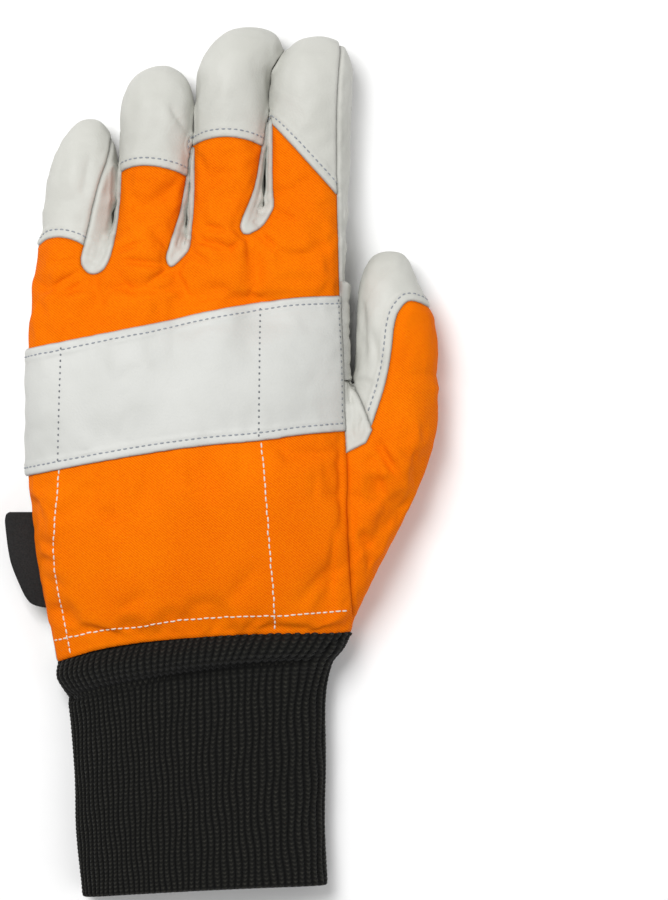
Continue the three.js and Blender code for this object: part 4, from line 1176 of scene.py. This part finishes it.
# %% Orange twill
def twill():
    add, finish = shader("orange_twill")
    spot = add("TexCoord").outputs["Object"]
    turned = add("Mapping", {"Vector": spot, "Rotation": (0, 0, math.radians(-52))}).outputs["Vector"]
    weave = add("TexWave", {"Vector": turned, "Scale": 450.0, "Distortion": 0.4, "Detail": 1.0, "Detail Scale": 2.0},
                wave_type="BANDS", bands_direction="X").outputs["Fac"]
    fuzz = add("TexNoise", {"Vector": spot, "Scale": 1500.0, "Detail": 3.0}).outputs["Fac"]
    cloud = add("TexNoise", {"Vector": spot, "Scale": 45.0, "Detail": 3.0}).outputs["Fac"]
    near = add("Attribute", attribute_name="near").outputs["Fac"]
    both = add("Math", {0: weave, 1: fuzz}, operation="ADD").outputs[0]
    tone = add("Math", {0: both, 1: 0.45}, operation="MULTIPLY").outputs[0]
    cloudy = add("Math", {0: cloud, 1: 0.35}, operation="MULTIPLY").outputs[0]
    tone = add("Math", {0: tone, 1: cloudy}, operation="ADD").outputs[0]
    colour = ramp(add, tone, [(0.15, (0.60, 0.070, 0.0)), (0.55, (0.82, 0.142, 0.0)), (1.0, (0.91, 0.235, 0.0))])
    # painted shade: the orange is darkened by up to a fifth near hems and seams, where the textile dives under the
    # leather
    shade = add("MapRange", {"Value": near, "From Min": 0.0, "From Max": 1.2, "To Min": 0.78, "To Max": 1.0}).outputs["Result"]
    colour = add("Mix", {0: 1.0, 6: colour, 7: shade}, data_type="RGBA", blend_type="MULTIPLY").outputs[2]
    bump = add("Bump", {"Height": both, "Strength": 0.5, "Distance": 0.00015}).outputs["Normal"]
    return finish(**{"Base Color": colour, "Roughness": 0.85, "Normal": bump, "Specular IOR Level": 0.05})

# %% White leather
def leather(name, low, high, grain):
    add, finish = shader(name)
    spot = add("TexCoord").outputs["Object"]
    pores = add("TexVoronoi", {"Vector": spot, "Scale": 1300.0}, feature="F1").outputs["Distance"]
    soft = add("TexNoise", {"Vector": spot, "Scale": 420.0, "Detail": 5.0, "Roughness": 0.6}).outputs["Fac"]
    cloud = add("TexNoise", {"Vector": spot, "Scale": 40.0, "Detail": 4.0}).outputs["Fac"]
    near = add("Attribute", attribute_name="near").outputs["Fac"]
    colour = ramp(add, cloud, [(0.3, low), (0.7, high)])
    # painted shade: the leather is darkened to 0.62 at its hems and seams, drawing dark contours along its edges
    shade = add("MapRange", {"Value": near, "From Min": 0.0, "From Max": 0.7, "To Min": 0.62, "To Max": 1.0}).outputs["Result"]
    colour = add("Mix", {0: 1.0, 6: colour, 7: shade}, data_type="RGBA", blend_type="MULTIPLY").outputs[2]
    both = add("Math", {0: pores, 1: soft}, operation="ADD").outputs[0]
    bump = add("Bump", {"Height": both, "Strength": grain, "Distance": 0.00012}).outputs["Normal"]
    return finish(**{"Base Color": colour, "Roughness": 0.55, "Normal": bump, "Specular IOR Level": 0.35})

# %% Rib knit, ribbon and threads
def knit():
    add, finish = shader("black_knit")
    place = add("UVMap", uv_map="knit").outputs["UV"]
    parts = add("SeparateXYZ", {"Vector": place})
    spot = add("TexCoord").outputs["Object"]
    across = add("Math", {0: parts.outputs["X"]}, operation="FRACT").outputs[0]
    centre = add("Math", {0: across, 1: 0.5}, operation="SUBTRACT").outputs[0]
    off = add("Math", {0: centre}, operation="ABSOLUTE").outputs[0]
    lean = add("Math", {0: off, 1: LEAN}, operation="MULTIPLY").outputs[0]
    rows = add("Math", {0: parts.outputs["Y"], 1: STITCH_ROW}, operation="DIVIDE").outputs[0]
    leg = add("Math", {0: rows, 1: lean}, operation="ADD").outputs[0]
    leg = add("Math", {0: leg, 1: 2 * math.pi}, operation="MULTIPLY").outputs[0]
    leg = add("Math", {0: leg}, operation="SINE").outputs[0]
    fuzz = add("TexNoise", {"Vector": spot, "Scale": 2200.0, "Detail": 4.0}).outputs["Fac"]
    fleck = add("TexNoise", {"Vector": spot, "Scale": 900.0, "Detail": 3.0, "Roughness": 0.7}).outputs["Fac"]
    # the V stitch pattern, with painted shade: the tone falls towards dark in the grooves between the ribs, where edge
    # is 1
    edge = add("Math", {0: off, 1: 2.0}, operation="MULTIPLY").outputs[0]
    edge = add("Math", {0: edge, 1: 2.5}, operation="POWER").outputs[0]
    top = add("Math", {0: 1.0, 1: edge}, operation="SUBTRACT").outputs[0]
    loops_and_groove_shade = add("Math", {0: leg, 1: 0.13, 2: 0.55}, operation="MULTIPLY_ADD").outputs[0]
    loops_and_groove_shade = add("Math", {0: loops_and_groove_shade, 1: top}, operation="MULTIPLY").outputs[0]
    tone = add("Math", {0: fleck, 1: 0.45, 2: loops_and_groove_shade}, operation="MULTIPLY_ADD").outputs[0]
    colour = ramp(add, tone, [(0.25, (0.001, 0.001, 0.001)), (0.6, (0.0035, 0.0035, 0.003)), (0.8, (0.011, 0.0107, 0.009)),
                              (1.0, (0.035, 0.034, 0.027))])
    # painted shade: the colour darkens to 0.15 in the crease below the roll
    crease = add("Attribute", attribute_name="crease").outputs["Fac"]
    shade = add("MapRange", {"Value": crease, "To Min": 1.0, "To Max": 0.15}).outputs["Result"]
    colour = add("Mix", {0: 1.0, 6: colour, 7: shade}, data_type="RGBA", blend_type="MULTIPLY").outputs[2]
    height = add("Math", {0: leg, 1: fuzz}, operation="ADD").outputs[0]
    bump = add("Bump", {"Height": height, "Strength": 0.7, "Distance": 0.0002}).outputs["Normal"]
    return finish(**{"Base Color": colour, "Roughness": 0.9, "Normal": bump, "Specular IOR Level": 0.15,
                     "Sheen Weight": 0.08, "Sheen Roughness": 0.5})

def fine_cloth(name, dark, light, size, rough):
    add, finish = shader(name)
    spot = add("TexCoord").outputs["Object"]
    grain = add("TexNoise", {"Vector": spot, "Scale": size, "Detail": 3.0}).outputs["Fac"]
    colour = ramp(add, grain, [(0.35, dark), (0.65, light)])
    bump = add("Bump", {"Height": grain, "Strength": 0.3, "Distance": 0.0001}).outputs["Normal"]
    return finish(**{"Base Color": colour, "Roughness": rough, "Normal": bump, "Specular IOR Level": 0.3})

def dress(piece, material):
    piece.data.materials.clear()
    piece.data.materials.append(material)

orange = twill()
white = leather("white_leather", (0.505, 0.505, 0.465), (0.575, 0.575, 0.535), 0.4)
hem_white = leather("band_leather", (0.53, 0.535, 0.51), (0.60, 0.605, 0.58), 0.35)
for name, piece in pieces.items():
    if name in TEXTILE:
        dress(piece, orange)
    elif name in ("cuff", "side_tab"):
        dress(piece, knit() if name == "cuff" else fine_cloth("black_ribbon", (0.004, 0.004, 0.004), (0.012, 0.012, 0.012), 1800.0, 0.75))
    else:
        dress(piece, hem_white if name == "knuckle_band" else white)
dress(hem_stitches, fine_cloth("gray_blue_thread", (0.20, 0.22, 0.25), (0.34, 0.36, 0.40), 2500.0, 0.6))
dress(band_rows, fine_cloth("gray_thread", (0.13, 0.14, 0.15), (0.25, 0.26, 0.28), 2500.0, 0.6))
dress(back_thread, fine_cloth("cream_thread", (0.62, 0.56, 0.46), (0.82, 0.78, 0.68), 2500.0, 0.6))
dress(floor, fine_cloth("pale_floor", (0.93, 0.93, 0.93), (0.96, 0.96, 0.96), 30.0, 0.8))

# %% Sizes of the finished model beside the engineering box
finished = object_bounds()
plain = lambda box: [[float(c) for c in corner] for corner in box]
{"engineering": plain(cad_box), "finished": plain(finished)}
print("finished box in mm:", [[round(c / MM, 1) for c in corner] for corner in finished])
